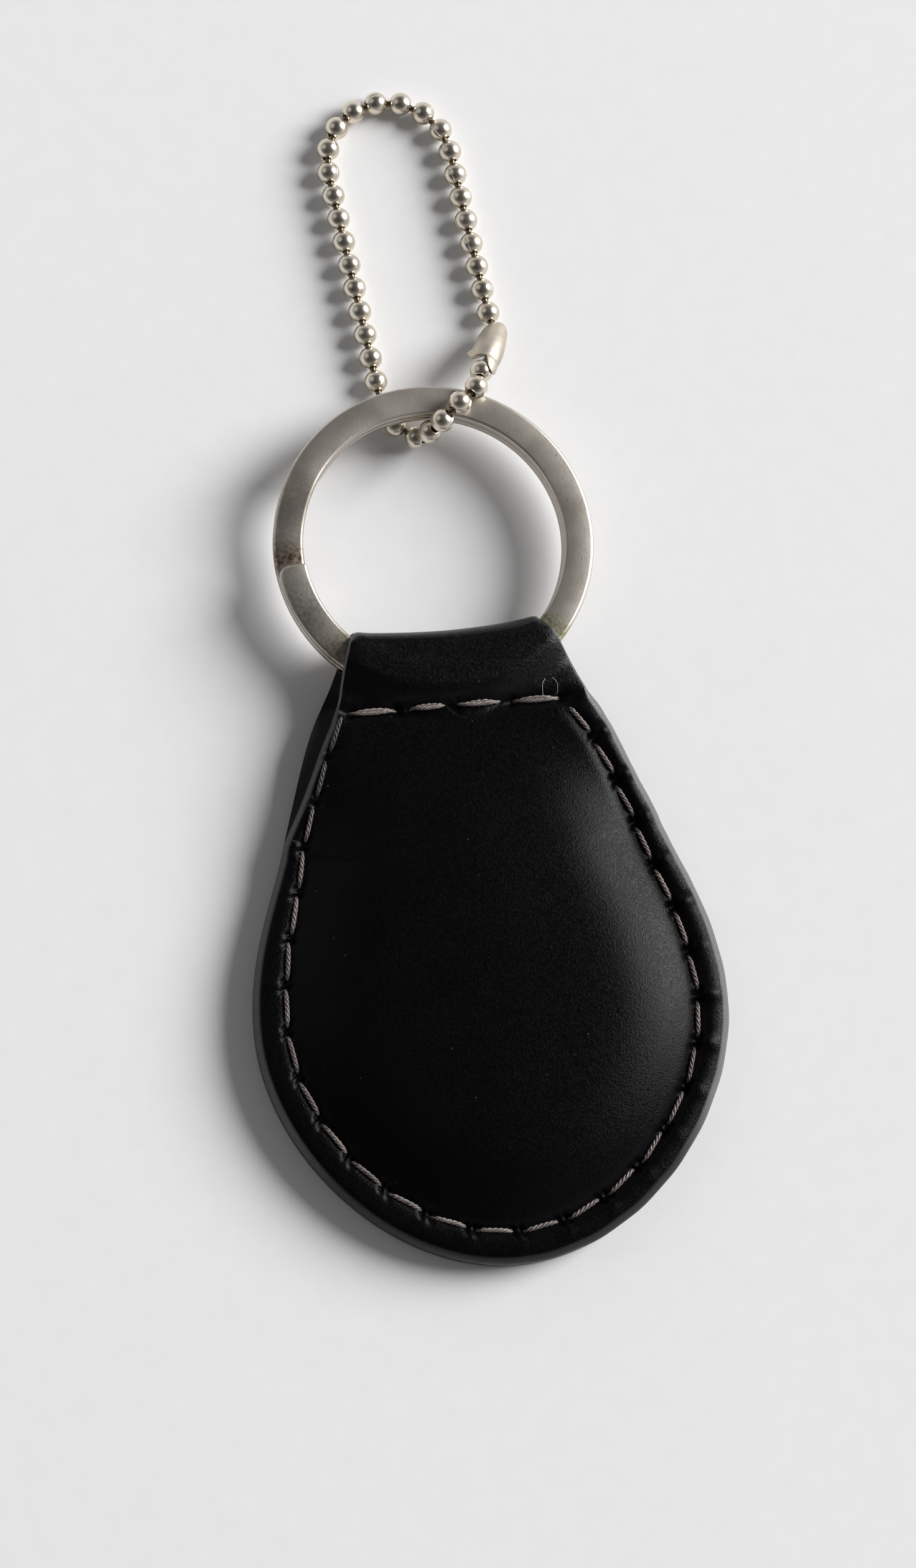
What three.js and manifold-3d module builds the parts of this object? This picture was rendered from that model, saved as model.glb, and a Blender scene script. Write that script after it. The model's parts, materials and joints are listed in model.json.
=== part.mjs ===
// A leather key fob: a padded teardrop of two stitched leather panels, a neck folded into a loop,
// a flat split ring through that loop, and a ball chain with its connector threaded on the ring.
// Millimetres. The fob lies on its flat back, +Z is up and +Y runs from the tip towards the ring.
// The origin is on the back face, at the middle of the fob's widest line.
import * as THREE from "three";
import { mergeVertices } from "three/addons/utils/BufferGeometryUtils.js";
import Module from "manifold-3d";

const wasm = await Module();
wasm.setup();

// Leather body
const BODY_WIDTH = 46.8; // across the widest line, y = 0
const TIP_LENGTH = 24.6; // from the widest line to the tip
const NECK_Y = 28.6; // from the widest line to the line where the neck bends
const NECK_WIDTH = 29.6; // across that line
const TIP_ROUND = 12.4; // over which the tip leaves its lowest point level, each way
const TIP_SIDE_RUN = 11.9; // over which the sides leave the widest line straight down
const SIDE_RUN = 8.0; // over which the sides leave the widest line straight up
const NECK_FLARE = 3.6; // by which each side spreads below the neck
const NECK_FLARE_RUN = 9.7; // length of that spread
const PANEL_THICKNESS = 1.6;
const SEAM_GAP = 0.3; // between the front and back panels
const EDGE_ROUND = 1.1; // of the burnished edges
const CROWN_RISE = 2.7; // of the dome over the rim
const CROWN_RUN = 9.0; // from the stitches to the top of the dome
const NECK_LIFT = 1.3; // of the back face at the neck
const NECK_LIFT_RUN = 14.0; // length over which the back face lifts
const NECK_BEND_UP = 60; // degrees
const NECK_CLEARANCE = 0.2; // between the neck and the panels when it is bent
const CORE_INSET = 1.8; // from the stitches to the padding's edge
const CORE_NECK_GAP = 10.6; // from the neck's bending line to the padding
const CORE_CLEARANCE = 0.25;

// Seam round the panels, and the cross seam that closes the loop
const STITCH_INSET = 3.1; // from the panel's edge
const STITCH_PITCH = 4.6;
const STITCH_SLANT = 0.15; // each stitch starts and ends this far off the seam's line
const THREAD_DIAMETER = 0.52;
const THREAD_CLEARANCE = 0.15;
const CHANNEL_DEPTH = 0.85; // of the groove that keeps the back thread off the table
const VALLEY_DEPTH = 0.45; // of the valley that the front thread pulls into the leather
const CHANNEL_HALF = 0.55; // half the width of the floor of the groove and the valley
const CHANNEL_SLOPE = 0.6; // width of each of its sides
const SEAM_NECK_GAP = 3.4; // from the neck's bending line to the seam's ends
const CROSS_GAP = 1.6; // from the neck's bending line to the cross seam
const CROSS_THREAD_DIAMETER = 0.8; // of the doubled thread
const CROSS_STITCHES = [5.5, 4.75, 5.25, 5.5]; // from hole to hole, left to right
const CROSS_START = -11.0; // the left hole

// Split ring: one flat wire wound nearly twice
const RING_DIAMETER = 32.0;
const WIRE_WIDTH = 3.0;
const WIRE_THICKNESS = 1.2;
const WIRE_CHAMFER = 0.3;
const TURN_GAP = 0.1;
const RING_X = -0.5; // the ring and its loop sit left of the fob's middle
const RING_END_ANGLE = 185; // degrees, where the upper turn ends
const RING_STEP_ANGLE = 40; // degrees, over which the wire drops from the upper turn to the lower

// Loop of the neck round the ring
const STRAP_THICKNESS = 1.0;
const FOLD_THICKNESS = 0.7; // where the leather is stretched round the ring
const FOLD_WIDTH = 18.5;
const FOLD_ROUND = 1.3;
const FOLD_STRAIGHT = 2.2; // of each side of the strap, below the fold
const TUNNEL_CLEARANCE = 0.25;
const TUNNEL_ROUND = 0.4;
const LOOP_SEAM_WALL = 0.75; // leather between the cross seam and the tunnel
const BULGE_RUN = 2.4; // length over which the leather rises over the ring

// Ball chain
const BEAD_DIAMETER = 2.35;
const BEAD_WALL = 0.2;
const BEAD_GAP = 0.15; // between neighbouring beads
const PIN_DIAMETER = 0.64;
const PIN_SEAT = 0.16; // of the pin's root, in the wall of its own bead
const PIN_PLAY = 0.155; // between the pin and the rim of the bead's hole
const HEAD_CATCH = 0.05; // by which the pin's head reaches past the rim of the hole
const HEAD_HALF = 0.3; // half the length of the head
const HEAD_SETBACK = 0.2; // from the head to the middle of the bead that holds it
const JOIN_SETBACK = 0.45; // the same in the bead that holds two heads
const CHAIN_HALF_WIDTH = 6.4; // from the loop's middle to the bead centres of each strand
const CHAIN_LEAN = 6.0; // degrees, to the left
const CHAIN_SHIFT = 3.2; // of the chain's middle, right of the ring's middle
const CONNECTOR_ROW_INDEX = 2; // the row of the right strand's end bead, inside the connector
const TOP_ROW_INDEX = 10; // the last straight row
const TOP_ARC_BEAD_COUNT = 7;
const CHAIN_CLEARANCE = 0.1; // between the chain and the ring
const BIGHT_BEAD_COUNT = 6; // between the left strand and the connector, round the ring's wire
const BIGHT_START_ANGLE = 98; // degrees round the ring, where the chain goes under it
const BIGHT_END_ANGLE = 60; // degrees, where it has come over it

// Connector: a sheet metal pod open along one side
const CONNECTOR_SPAN = 6.0; // between the two end beads
const CONNECTOR_WALL = 0.3;
const CONNECTOR_CLEARANCE = 0.12;
const CONNECTOR_MOUTH = 0.4; // the pod is cut open this far from its axis
const CONNECTOR_SLOT = 1.5; // width of the slots for the pins

// Fineness of the curved shapes, in segments
const OUTLINE_STEPS = 40;
const OUTLINE_SAMPLES = 200;
const ROUTE_SAMPLES = 2000;
const EDGE_ROWS = [0, 0.3, 1]; // shares of the edge's rounding
const CROWN_ROWS = [0.2, 0.5]; // shares of the dome's run
const MIDDLE_ROWS = [0.5, 1]; // shares of what is left, up to the middle line
const TIP_SPINE = 0.1; // share of the tip's length that the middle line takes up
const THREAD_SIDES = 5;
const RING_STEP = 8; // degrees
const BEAD_SIDES = 8;
const BEAD_ROWS = 4;
const PIN_SIDES = 6;
const CONNECTOR_SIDES = 16;
const ROUND_STEPS = 5;
const CUTTER_SIDES = 32;
const BISECTIONS = 20;
const MERGE_DISTANCE = 1e-4;

// Sizes that follow from the ones above
const seamTop = 2 * PANEL_THICKNESS + SEAM_GAP;
const neckRadius = seamTop / 2;
const neckZ = NECK_LIFT + neckRadius;
const grooveRadius = neckRadius / Math.cos(radians(NECK_BEND_UP / 2)) + NECK_CLEARANCE;
const beadRadius = BEAD_DIAMETER / 2;
const pitch = BEAD_DIAMETER + BEAD_GAP;
const holeRadius = PIN_DIAMETER / 2 + PIN_PLAY;
const headRadius = holeRadius + HEAD_CATCH;
const ringOuter = RING_DIAMETER / 2;
const ringInner = ringOuter - WIRE_WIDTH;
const ringBottom = BEAD_DIAMETER + CHAIN_CLEARANCE;
const ringTop = ringBottom + 2 * WIRE_THICKNESS + TURN_GAP;
const crossY = NECK_Y + CROSS_GAP;
const tunnelLow = crossY + LOOP_SEAM_WALL;
const ringY = tunnelLow + TUNNEL_CLEARANCE + ringOuter;
const tunnelHigh = ringY - Math.sqrt(ringInner ** 2 - (FOLD_WIDTH / 2) ** 2) + TUNNEL_CLEARANCE;
const tunnelFloor = ringBottom - TUNNEL_CLEARANCE;
const tunnelRoof = ringTop + TUNNEL_CLEARANCE;
const foldY = tunnelHigh + FOLD_THICKNESS;
const strapFloor = tunnelFloor - STRAP_THICKNESS;
const strapRoof = tunnelRoof + STRAP_THICKNESS;

const leather = new THREE.MeshStandardMaterial({ color: 0x17171a, roughness: 0.45 });
const padding = new THREE.MeshStandardMaterial({ color: 0xb9b2a4, roughness: 0.95 });
const thread = new THREE.MeshStandardMaterial({ color: 0x7d7069, roughness: 0.8 });
const nickel = new THREE.MeshStandardMaterial({ color: 0x9a948a, roughness: 0.3, metalness: 1 });
const brightNickel = new THREE.MeshStandardMaterial({ color: 0xb7b0a3, roughness: 0.2, metalness: 1 });

function radians(degrees) {
  return (degrees * Math.PI) / 180;
}

// Eases from 0 to 1 with level ends.
function ease(t) {
  const held = Math.min(Math.max(t, 0), 1);
  return held * held * (3 - 2 * held);
}

// Rises from 0 to 1 steeply at first and level at the end, as a stuffed cover does from its seam.
function swell(t) {
  const held = Math.min(Math.max(t, 0), 1);
  return 1 - (1 - held) ** 2;
}

function mesh(name, geometry, material) {
  const made = new THREE.Mesh(geometry, material);
  made.name = name;
  return made;
}

// A closed surface as a solid that can be joined and cut.
function solid(geometry) {
  const bare = new THREE.BufferGeometry();
  bare.setAttribute("position", geometry.getAttribute("position"));
  bare.setIndex(geometry.index);
  const merged = mergeVertices(bare, MERGE_DISTANCE);
  const vertProperties = merged.getAttribute("position").array;
  const triVerts = new Uint32Array(merged.index.array);
  return new wasm.Manifold(new wasm.Mesh({ numProp: 3, vertProperties, triVerts }));
}

// The surface of a solid.
function surface(body) {
  const { vertProperties, numProp, triVerts } = body.getMesh();
  const geometry = new THREE.BufferGeometry();
  geometry.setAttribute("position", new THREE.BufferAttribute(vertProperties, numProp));
  geometry.setIndex(new THREE.BufferAttribute(triVerts, 1));
  return geometry;
}

function triangles(points) {
  return mergeVertices(new THREE.BufferGeometry().setFromPoints(points), MERGE_DISTANCE);
}

function addQuad(list, a, b, c, d) {
  list.push(a, b, c, a, c, d);
}

// A solid through a row of rings of points, with flat ends.
function loft(rings) {
  const list = [];
  const sides = rings[0].length;
  for (let i = 0; i + 1 < rings.length; i++)
    for (let k = 0; k < sides; k++) {
      const next = (k + 1) % sides;
      addQuad(list, rings[i][k], rings[i][next], rings[i + 1][next], rings[i + 1][k]);
    }
  const last = rings[rings.length - 1];
  for (let k = 1; k + 1 < sides; k++) {
    list.push(rings[0][0], rings[0][k + 1], rings[0][k]);
    list.push(last[0], last[k], last[k + 1]);
  }
  return triangles(list);
}

// A round thread through points, its section carried along without twist.
function threadAlong(points, radius) {
  const rings = [];
  let side = new THREE.Vector3(0, 0, 1);
  points.forEach((point, i) => {
    const before = points[Math.max(i - 1, 0)];
    const after = points[Math.min(i + 1, points.length - 1)];
    const forward = after.clone().sub(before).normalize();
    side = side.clone().addScaledVector(forward, -side.dot(forward)).normalize();
    const across = forward.clone().cross(side);
    const ring = [];
    for (let k = 0; k < THREAD_SIDES; k++) {
      const turn = (2 * Math.PI * k) / THREAD_SIDES;
      const offset = side.clone().multiplyScalar(Math.cos(turn) * radius);
      ring.push(offset.addScaledVector(across, Math.sin(turn) * radius).add(point));
    }
    rings.push(ring);
  });
  return loft(rings);
}

// Outline of the teardrop from its left end at endY, round the tip, to its right end, in equal steps.
function teardrop(endY) {
  const half = BODY_WIDTH / 2;
  const side = new THREE.CubicBezierCurve(
    new THREE.Vector2(half, 0),
    new THREE.Vector2(half, SIDE_RUN),
    new THREE.Vector2(NECK_WIDTH / 2 + NECK_FLARE, NECK_Y - NECK_FLARE_RUN),
    new THREE.Vector2(NECK_WIDTH / 2, NECK_Y),
  );
  const tip = new THREE.CubicBezierCurve(
    new THREE.Vector2(0, -TIP_LENGTH),
    new THREE.Vector2(TIP_ROUND, -TIP_LENGTH),
    new THREE.Vector2(half, -TIP_SIDE_RUN),
    new THREE.Vector2(half, 0),
  );
  const right = tip.getPoints(OUTLINE_SAMPLES).concat(side.getPoints(OUTLINE_SAMPLES).slice(1));
  const kept = right.filter((point) => point.y < endY - MERGE_DISTANCE);
  const past = right[kept.length];
  const last = kept[kept.length - 1];
  kept.push(last.clone().lerp(past, (endY - last.y) / (past.y - last.y)));
  const steps = OUTLINE_STEPS / 2;
  const even = evenly(kept, steps);
  const left = even.slice(1).map((point) => new THREE.Vector2(-point.x, point.y));
  return left.reverse().concat(even);
}

// Points at equal distances along a line of points.
function evenly(line, steps) {
  const at = [0];
  for (let i = 1; i < line.length; i++) at.push(at[i - 1] + line[i].distanceTo(line[i - 1]));
  const total = at[at.length - 1];
  const points = [];
  let i = 1;
  for (let k = 0; k <= steps; k++) {
    const wanted = (total * k) / steps;
    while (i < line.length - 1 && at[i] < wanted) i++;
    points.push(line[i - 1].clone().lerp(line[i], (wanted - at[i - 1]) / (at[i] - at[i - 1])));
  }
  return points;
}

// The point of the teardrop's middle line that faces an outline point.
function spinePoint(point, endY) {
  const y = point.y > 0 ? point.y ** 2 / endY : TIP_SPINE * point.y;
  return new THREE.Vector2(0, y);
}

function insetPoint(point, endY, inset) {
  const inward = spinePoint(point, endY).sub(point);
  return point.clone().addScaledVector(inward, Math.min(inset / inward.length(), 1));
}

// Heights of the leather's faces, from the distance to the edge and the place along the fob
function lift(y) {
  return NECK_LIFT * ease((y - NECK_Y + NECK_LIFT_RUN) / NECK_LIFT_RUN);
}

function crown(inset, y) {
  const fromSeam = swell((inset - STITCH_INSET - CHANNEL_HALF) / CROWN_RUN);
  return CROWN_RISE * fromSeam * ease((NECK_Y - y) / CROWN_RUN);
}

function channel(inset) {
  const off = Math.abs(inset - STITCH_INSET);
  return 1 - ease((off - CHANNEL_HALF) / CHANNEL_SLOPE);
}

function edgeDrop(inset) {
  const off = Math.max(EDGE_ROUND - inset, 0);
  return EDGE_ROUND - Math.sqrt(EDGE_ROUND ** 2 - off ** 2);
}

function frontTop(inset, y) {
  return seamTop + lift(y) + crown(inset, y) - VALLEY_DEPTH * channel(inset) - edgeDrop(inset);
}

function frontUnder(inset, y) {
  return PANEL_THICKNESS + SEAM_GAP + lift(y) + crown(inset, y);
}

function backTop(inset, y) {
  return PANEL_THICKNESS + lift(y);
}

function backUnder(inset, y) {
  return lift(y) + CHANNEL_DEPTH * channel(inset) + edgeDrop(inset);
}

function coreTop(inset, y) {
  return frontUnder(inset, y) - CORE_CLEARANCE;
}

function coreUnder(inset, y) {
  return backTop(inset, y) + CORE_CLEARANCE;
}

// A face over the teardrop: rows of points from the edge in to the middle line.
function faceRows(endY, insets, middleParts, height) {
  const innermost = insets[insets.length - 1];
  return teardrop(endY).map((point) => {
    const depth = point.distanceTo(spinePoint(point, endY));
    const steps = insets.concat(middleParts.map((part) => innermost + (depth - innermost) * part));
    return steps.map((inset) => {
      const place = insetPoint(point, endY, inset);
      return new THREE.Vector3(place.x, place.y, height(inset, place.y));
    });
  });
}

// A leather-like sheet between an upper and a lower face, with its edge and its end at the neck.
function sheet(upper, lower) {
  const list = [];
  for (let i = 0; i + 1 < upper.length; i++) {
    for (let j = 0; j + 1 < upper[i].length; j++)
      addQuad(list, upper[i][j], upper[i + 1][j], upper[i + 1][j + 1], upper[i][j + 1]);
    for (let j = 0; j + 1 < lower[i].length; j++)
      addQuad(list, lower[i][j + 1], lower[i + 1][j + 1], lower[i + 1][j], lower[i][j]);
    addQuad(list, upper[i][0], lower[i][0], lower[i + 1][0], upper[i + 1][0]);
  }
  const end = upper.length - 1;
  const over = upper[end].concat(upper[0].slice(0, -1).reverse());
  const under = lower[0].concat(lower[end].slice(0, -1).reverse());
  const rim = over.concat(under);
  const flat = rim.map((point) => new THREE.Vector2(-point.x, point.z));
  for (const [a, b, c] of THREE.ShapeUtils.triangulateShape(flat, [])) list.push(rim[a], rim[b], rim[c]);
  return triangles(list);
}

const channelWide = CHANNEL_HALF + CHANNEL_SLOPE;
const channelRows = [-channelWide, -CHANNEL_HALF, CHANNEL_HALF, channelWide];
const edgeRows = EDGE_ROWS.map((part) => part * EDGE_ROUND);
const seamRows = edgeRows.concat(channelRows.map((row) => STITCH_INSET + row));
const crownStart = STITCH_INSET + CHANNEL_HALF;
const crownRows = CROWN_ROWS.map((part) => crownStart + part * CROWN_RUN);

// The seam's line in plan, with the way along it at each place
function seamLine(inset) {
  const outline = teardrop(NECK_Y).map((point) => insetPoint(point, NECK_Y, inset));
  const limit = NECK_Y - SEAM_NECK_GAP;
  return evenly(outline.filter((point) => point.y < limit), OUTLINE_SAMPLES);
}

function placeOn(line, part) {
  const at = Math.min(part * OUTLINE_SAMPLES, OUTLINE_SAMPLES - MERGE_DISTANCE);
  const i = Math.floor(at);
  const way = line[i + 1].clone().sub(line[i]).normalize();
  return { point: line[i].clone().lerp(line[i + 1], at - i), way };
}

// A thread that lies on a face between the holes and dips into each of them.
// holes are lengths along the seam, and place(length, side) gives the spot that far along it.
function lockstitch(holes, diameter, place, faceHeight, dipHeight) {
  const leg = diameter / 2 + THREAD_CLEARANCE / 2;
  const bend = diameter / 2;
  const points = [];
  const add = (length, side, height) => {
    const spot = place(length, side);
    points.push(new THREE.Vector3(spot.x, spot.y, height(spot)));
  };
  for (let k = 0; k + 1 < holes.length; k++) {
    add(holes[k] + leg, 0, dipHeight);
    add(holes[k] + leg + bend, -1, faceHeight);
    add((holes[k] + holes[k + 1]) / 2, 0, faceHeight);
    add(holes[k + 1] - leg - bend, 1, faceHeight);
    add(holes[k + 1] - leg, 0, dipHeight);
  }
  return threadAlong(points, diameter / 2);
}

// A slit through the leather for the two legs of a thread.
function slit(spot, way, diameter, slant, through) {
  const length = 3 * diameter + THREAD_CLEARANCE;
  const width = diameter + 2 * THREAD_CLEARANCE + 2 * slant;
  const box = new THREE.BoxGeometry(length, width, through);
  box.rotateZ(Math.atan2(way.y, way.x));
  return solid(box.translate(spot.x, spot.y, through / 2));
}

// Cylinder along X that clears the neck's round end.
function neckCutter() {
  const cylinder = new THREE.CylinderGeometry(grooveRadius, grooveRadius, 2 * BODY_WIDTH, CUTTER_SIDES);
  cylinder.rotateZ(Math.PI / 2);
  return solid(cylinder.translate(0, NECK_Y, neckZ));
}

function buildBody() {
  const body = new THREE.Group();
  const line = seamLine(STITCH_INSET);
  const length = line.slice(1).reduce((sum, point, i) => sum + point.distanceTo(line[i]), 0);
  const count = Math.round(length / STITCH_PITCH);
  const holes = Array.from({ length: count + 1 }, (_, k) => (length * k) / count);
  const slits = holes.map((hole) => {
    const { point, way } = placeOn(line, hole / length);
    return slit(point, way, THREAD_DIAMETER, STITCH_SLANT, 2 * seamTop);
  });
  const cut = (geometry) => {
    const open = slits.reduce((whole, one) => whole.subtract(one), solid(geometry));
    return surface(open.subtract(neckCutter()));
  };

  const frontUpper = faceRows(NECK_Y, seamRows.concat(crownRows), MIDDLE_ROWS, frontTop);
  const frontLower = faceRows(NECK_Y, [0, crownStart].concat(crownRows), MIDDLE_ROWS, frontUnder);
  body.add(mesh("front_panel", cut(sheet(frontUpper, frontLower)), leather));

  const backUpper = faceRows(NECK_Y, [0], [1], backTop);
  const backLower = faceRows(NECK_Y, seamRows, [1], backUnder);
  body.add(mesh("back_panel", cut(sheet(backUpper, backLower)), leather));

  const coreEnd = NECK_Y - CORE_NECK_GAP;
  const coreStart = crownStart + CORE_INSET;
  const coreUpper = faceRows(coreEnd, [coreStart].concat(crownRows.slice(1)), MIDDLE_ROWS, coreTop);
  const coreLower = faceRows(coreEnd, [coreStart], [1], coreUnder);
  body.add(mesh("padding_core", sheet(coreUpper, coreLower), padding));

  const place = (at, side) => {
    const { point, way } = placeOn(line, at / length);
    return new THREE.Vector2(-way.y, way.x).multiplyScalar(side * STITCH_SLANT).add(point);
  };
  const proud = THREAD_DIAMETER / 2 + THREAD_CLEARANCE;
  const seamMiddle = (spot) => PANEL_THICKNESS + SEAM_GAP / 2 + lift(spot.y);
  const onFront = (spot) => frontTop(STITCH_INSET, spot.y) + proud;
  const onBack = (spot) => backUnder(STITCH_INSET, spot.y) - proud;
  const frontDip = (spot) => seamMiddle(spot) + proud;
  const backDip = (spot) => seamMiddle(spot) - proud;
  const frontThread = lockstitch(holes, THREAD_DIAMETER, place, onFront, frontDip);
  const backThread = lockstitch(holes, THREAD_DIAMETER, place, onBack, backDip);
  body.add(mesh("seam_thread_front", frontThread, thread));
  body.add(mesh("seam_thread_back", backThread, thread));
  return body;
}

// The neck from the side, as a band that runs round the tunnel, and from above, as it narrows to the fold
function strapSide() {
  const side = new THREE.Shape();
  side.absarc(NECK_Y, neckZ, neckRadius, Math.PI / 2, 1.5 * Math.PI, false);
  side.lineTo(tunnelLow, strapFloor);
  side.lineTo(foldY - FOLD_ROUND, strapFloor);
  side.absarc(foldY - FOLD_ROUND, strapFloor + FOLD_ROUND, FOLD_ROUND, -Math.PI / 2, 0, false);
  side.absarc(foldY - FOLD_ROUND, strapRoof - FOLD_ROUND, FOLD_ROUND, 0, Math.PI / 2, false);
  side.lineTo(tunnelLow + BULGE_RUN, strapRoof);
  const valley = crossY + CROSS_THREAD_DIAMETER / 2;
  side.quadraticCurveTo(tunnelLow, strapRoof, valley, neckZ + neckRadius);
  const hole = new THREE.Path();
  const corners = [
    [tunnelHigh - TUNNEL_ROUND, tunnelFloor + TUNNEL_ROUND],
    [tunnelHigh - TUNNEL_ROUND, tunnelRoof - TUNNEL_ROUND],
    [tunnelLow + TUNNEL_ROUND, tunnelRoof - TUNNEL_ROUND],
    [tunnelLow + TUNNEL_ROUND, tunnelFloor + TUNNEL_ROUND],
  ];
  corners.forEach(([y, z], k) => {
    const start = (k - 1) * (Math.PI / 2);
    hole.absarc(y, z, TUNNEL_ROUND, start, start + Math.PI / 2, false);
  });
  side.holes.push(hole);
  const geometry = new THREE.ExtrudeGeometry(side, {
    depth: 2 * BODY_WIDTH,
    bevelEnabled: false,
    curveSegments: ROUND_STEPS,
  });
  geometry.translate(0, 0, -BODY_WIDTH);
  const turned = new THREE.Matrix4().makeBasis(
    new THREE.Vector3(0, 1, 0),
    new THREE.Vector3(0, 0, 1),
    new THREE.Vector3(1, 0, 0),
  );
  return geometry.applyMatrix4(turned);
}

function strapPlan() {
  const low = NECK_Y - 2 * neckRadius;
  const plan = new THREE.Shape([
    new THREE.Vector2(-NECK_WIDTH / 2, low),
    new THREE.Vector2(NECK_WIDTH / 2, low),
    new THREE.Vector2(NECK_WIDTH / 2, NECK_Y),
    new THREE.Vector2(RING_X + FOLD_WIDTH / 2, foldY - FOLD_STRAIGHT),
    new THREE.Vector2(RING_X + FOLD_WIDTH / 2, foldY + FOLD_ROUND),
    new THREE.Vector2(RING_X - FOLD_WIDTH / 2, foldY + FOLD_ROUND),
    new THREE.Vector2(RING_X - FOLD_WIDTH / 2, foldY - FOLD_STRAIGHT),
    new THREE.Vector2(-NECK_WIDTH / 2, NECK_Y),
  ]);
  return new THREE.ExtrudeGeometry(plan, { depth: 2 * strapRoof, bevelEnabled: false });
}

function buildLoop() {
  const loop = new THREE.Group();
  const holes = [0];
  for (const stitch of CROSS_STITCHES) holes.push(holes[holes.length - 1] + stitch);
  const place = (at) => new THREE.Vector2(CROSS_START + at, crossY);
  const along = new THREE.Vector2(1, 0);
  let strap = solid(strapSide()).intersect(solid(strapPlan()));
  for (const hole of holes)
    strap = strap.subtract(slit(place(hole), along, CROSS_THREAD_DIAMETER, 0, 2 * strapRoof));
  loop.add(mesh("hanger_strap", surface(strap), leather));

  const proud = CROSS_THREAD_DIAMETER / 2 + THREAD_CLEARANCE;
  const onTop = () => neckZ + neckRadius + proud;
  const onUnder = () => strapFloor - proud;
  const dipTop = () => neckZ + proud;
  const dipUnder = () => neckZ - proud;
  const frontThread = lockstitch(holes, CROSS_THREAD_DIAMETER, place, onTop, dipTop);
  const backThread = lockstitch(holes, CROSS_THREAD_DIAMETER, place, onUnder, dipUnder);
  loop.add(mesh("cross_thread_front", frontThread, thread));
  loop.add(mesh("cross_thread_back", backThread, thread));
  return loop;
}

// Flat wire wound from the free end of the upper turn, down a short ramp, into the lower turn
function buildRing() {
  const halfWidth = WIRE_WIDTH / 2;
  const halfThick = WIRE_THICKNESS / 2;
  const section = [];
  for (const [across, up] of [[1, -1], [-1, -1], [-1, 1], [1, 1]]) {
    const corner = [
      [across * (halfWidth - WIRE_CHAMFER), up * halfThick],
      [across * halfWidth, up * (halfThick - WIRE_CHAMFER)],
    ];
    section.push(...(across * up < 0 ? corner.reverse() : corner));
  }
  const lower = ringBottom + halfThick;
  const rise = WIRE_THICKNESS + TURN_GAP;
  const total = 720 - RING_STEP_ANGLE;
  const steps = Math.round(total / RING_STEP);
  const middle = ringOuter - halfWidth;
  const rings = [];
  for (let i = 0; i <= steps; i++) {
    const turned = (total * i) / steps;
    const angle = RING_END_ANGLE + turned;
    const dropped = ease((turned - 360 + RING_STEP_ANGLE) / RING_STEP_ANGLE);
    const z = lower + rise * (1 - dropped);
    const [c, s] = [Math.cos(radians(angle)), Math.sin(radians(angle))];
    rings.push(section.map(([a, up]) => new THREE.Vector3(c * (middle + a), s * (middle + a), z + up)));
  }
  const ring = mesh("split_ring", loft(rings), nickel);
  ring.position.set(RING_X, ringY, 0);
  return ring;
}

// A place on the chain's own plan: across its middle line, along it from the ring's edge, and up
function chainPoint(across, along, z) {
  const lean = radians(CHAIN_LEAN);
  const x = RING_X + CHAIN_SHIFT + across * Math.cos(lean) - along * Math.sin(lean);
  const y = ringY + ringOuter + across * Math.sin(lean) + along * Math.cos(lean);
  return new THREE.Vector3(x, y, z);
}

// Bead places round the ring's wire: under it, up inside it and over it, each one pitch from the last
function bightPlaces(start) {
  const apart = beadRadius + CHAIN_CLEARANCE;
  const middle = (ringBottom + ringTop) / 2;
  const over = ringTop + apart;
  const section = [
    [ringInner, beadRadius + CHAIN_CLEARANCE / 2],
    [ringInner - apart, beadRadius + CHAIN_CLEARANCE],
    [ringInner - apart - 2 * CHAIN_CLEARANCE, middle],
    [ringInner - apart / 2, over],
    [ringInner + WIRE_WIDTH / 2, over + CHAIN_CLEARANCE],
    [ringOuter + apart, over - apart / 2],
    [ringOuter + 3 * apart, middle],
  ];
  const round = section.map(([radius, z], k) => {
    const share = k / (section.length - 1);
    const turn = radians(BIGHT_START_ANGLE + (BIGHT_END_ANGLE - BIGHT_START_ANGLE) * share);
    return new THREE.Vector3(RING_X + radius * Math.cos(turn), ringY + radius * Math.sin(turn), z);
  });
  const route = new THREE.CatmullRomCurve3([start, ...round]);
  const places = [start];
  for (const point of route.getPoints(ROUTE_SAMPLES))
    if (point.distanceTo(places[places.length - 1]) >= pitch && places.length <= BIGHT_BEAD_COUNT)
      places.push(point);
  return places.slice(1);
}

// Places of the strands, for a first row that far along the chain from the ring's edge
function strands(firstRow) {
  const at = (side, row) => chainPoint(side * CHAIN_HALF_WIDTH, firstRow + pitch * row, beadRadius);
  const left = [];
  const right = [];
  const arc = [];
  for (let row = 0; row <= TOP_ROW_INDEX; row++) left.push(at(-1, row));
  for (let row = CONNECTOR_ROW_INDEX + 1; row <= TOP_ROW_INDEX; row++) right.push(at(1, row));
  const gaps = TOP_ARC_BEAD_COUNT + 1;
  const arcHeight = pitch / (2 * Math.sin(Math.PI / (2 * gaps)));
  for (let k = 1; k < gaps; k++) {
    const turn = Math.PI * (1 - k / gaps);
    const along = firstRow + pitch * TOP_ROW_INDEX + arcHeight * Math.sin(turn);
    arc.push(chainPoint(CHAIN_HALF_WIDTH * Math.cos(turn), along, beadRadius));
  }
  const podRadius = beadRadius + CONNECTOR_CLEARANCE + CONNECTOR_WALL;
  const upperEnd = at(1, CONNECTOR_ROW_INDEX).setZ(podRadius + CHAIN_CLEARANCE);
  return { left, right, arc, upperEnd, bight: bightPlaces(left[0]) };
}

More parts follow.
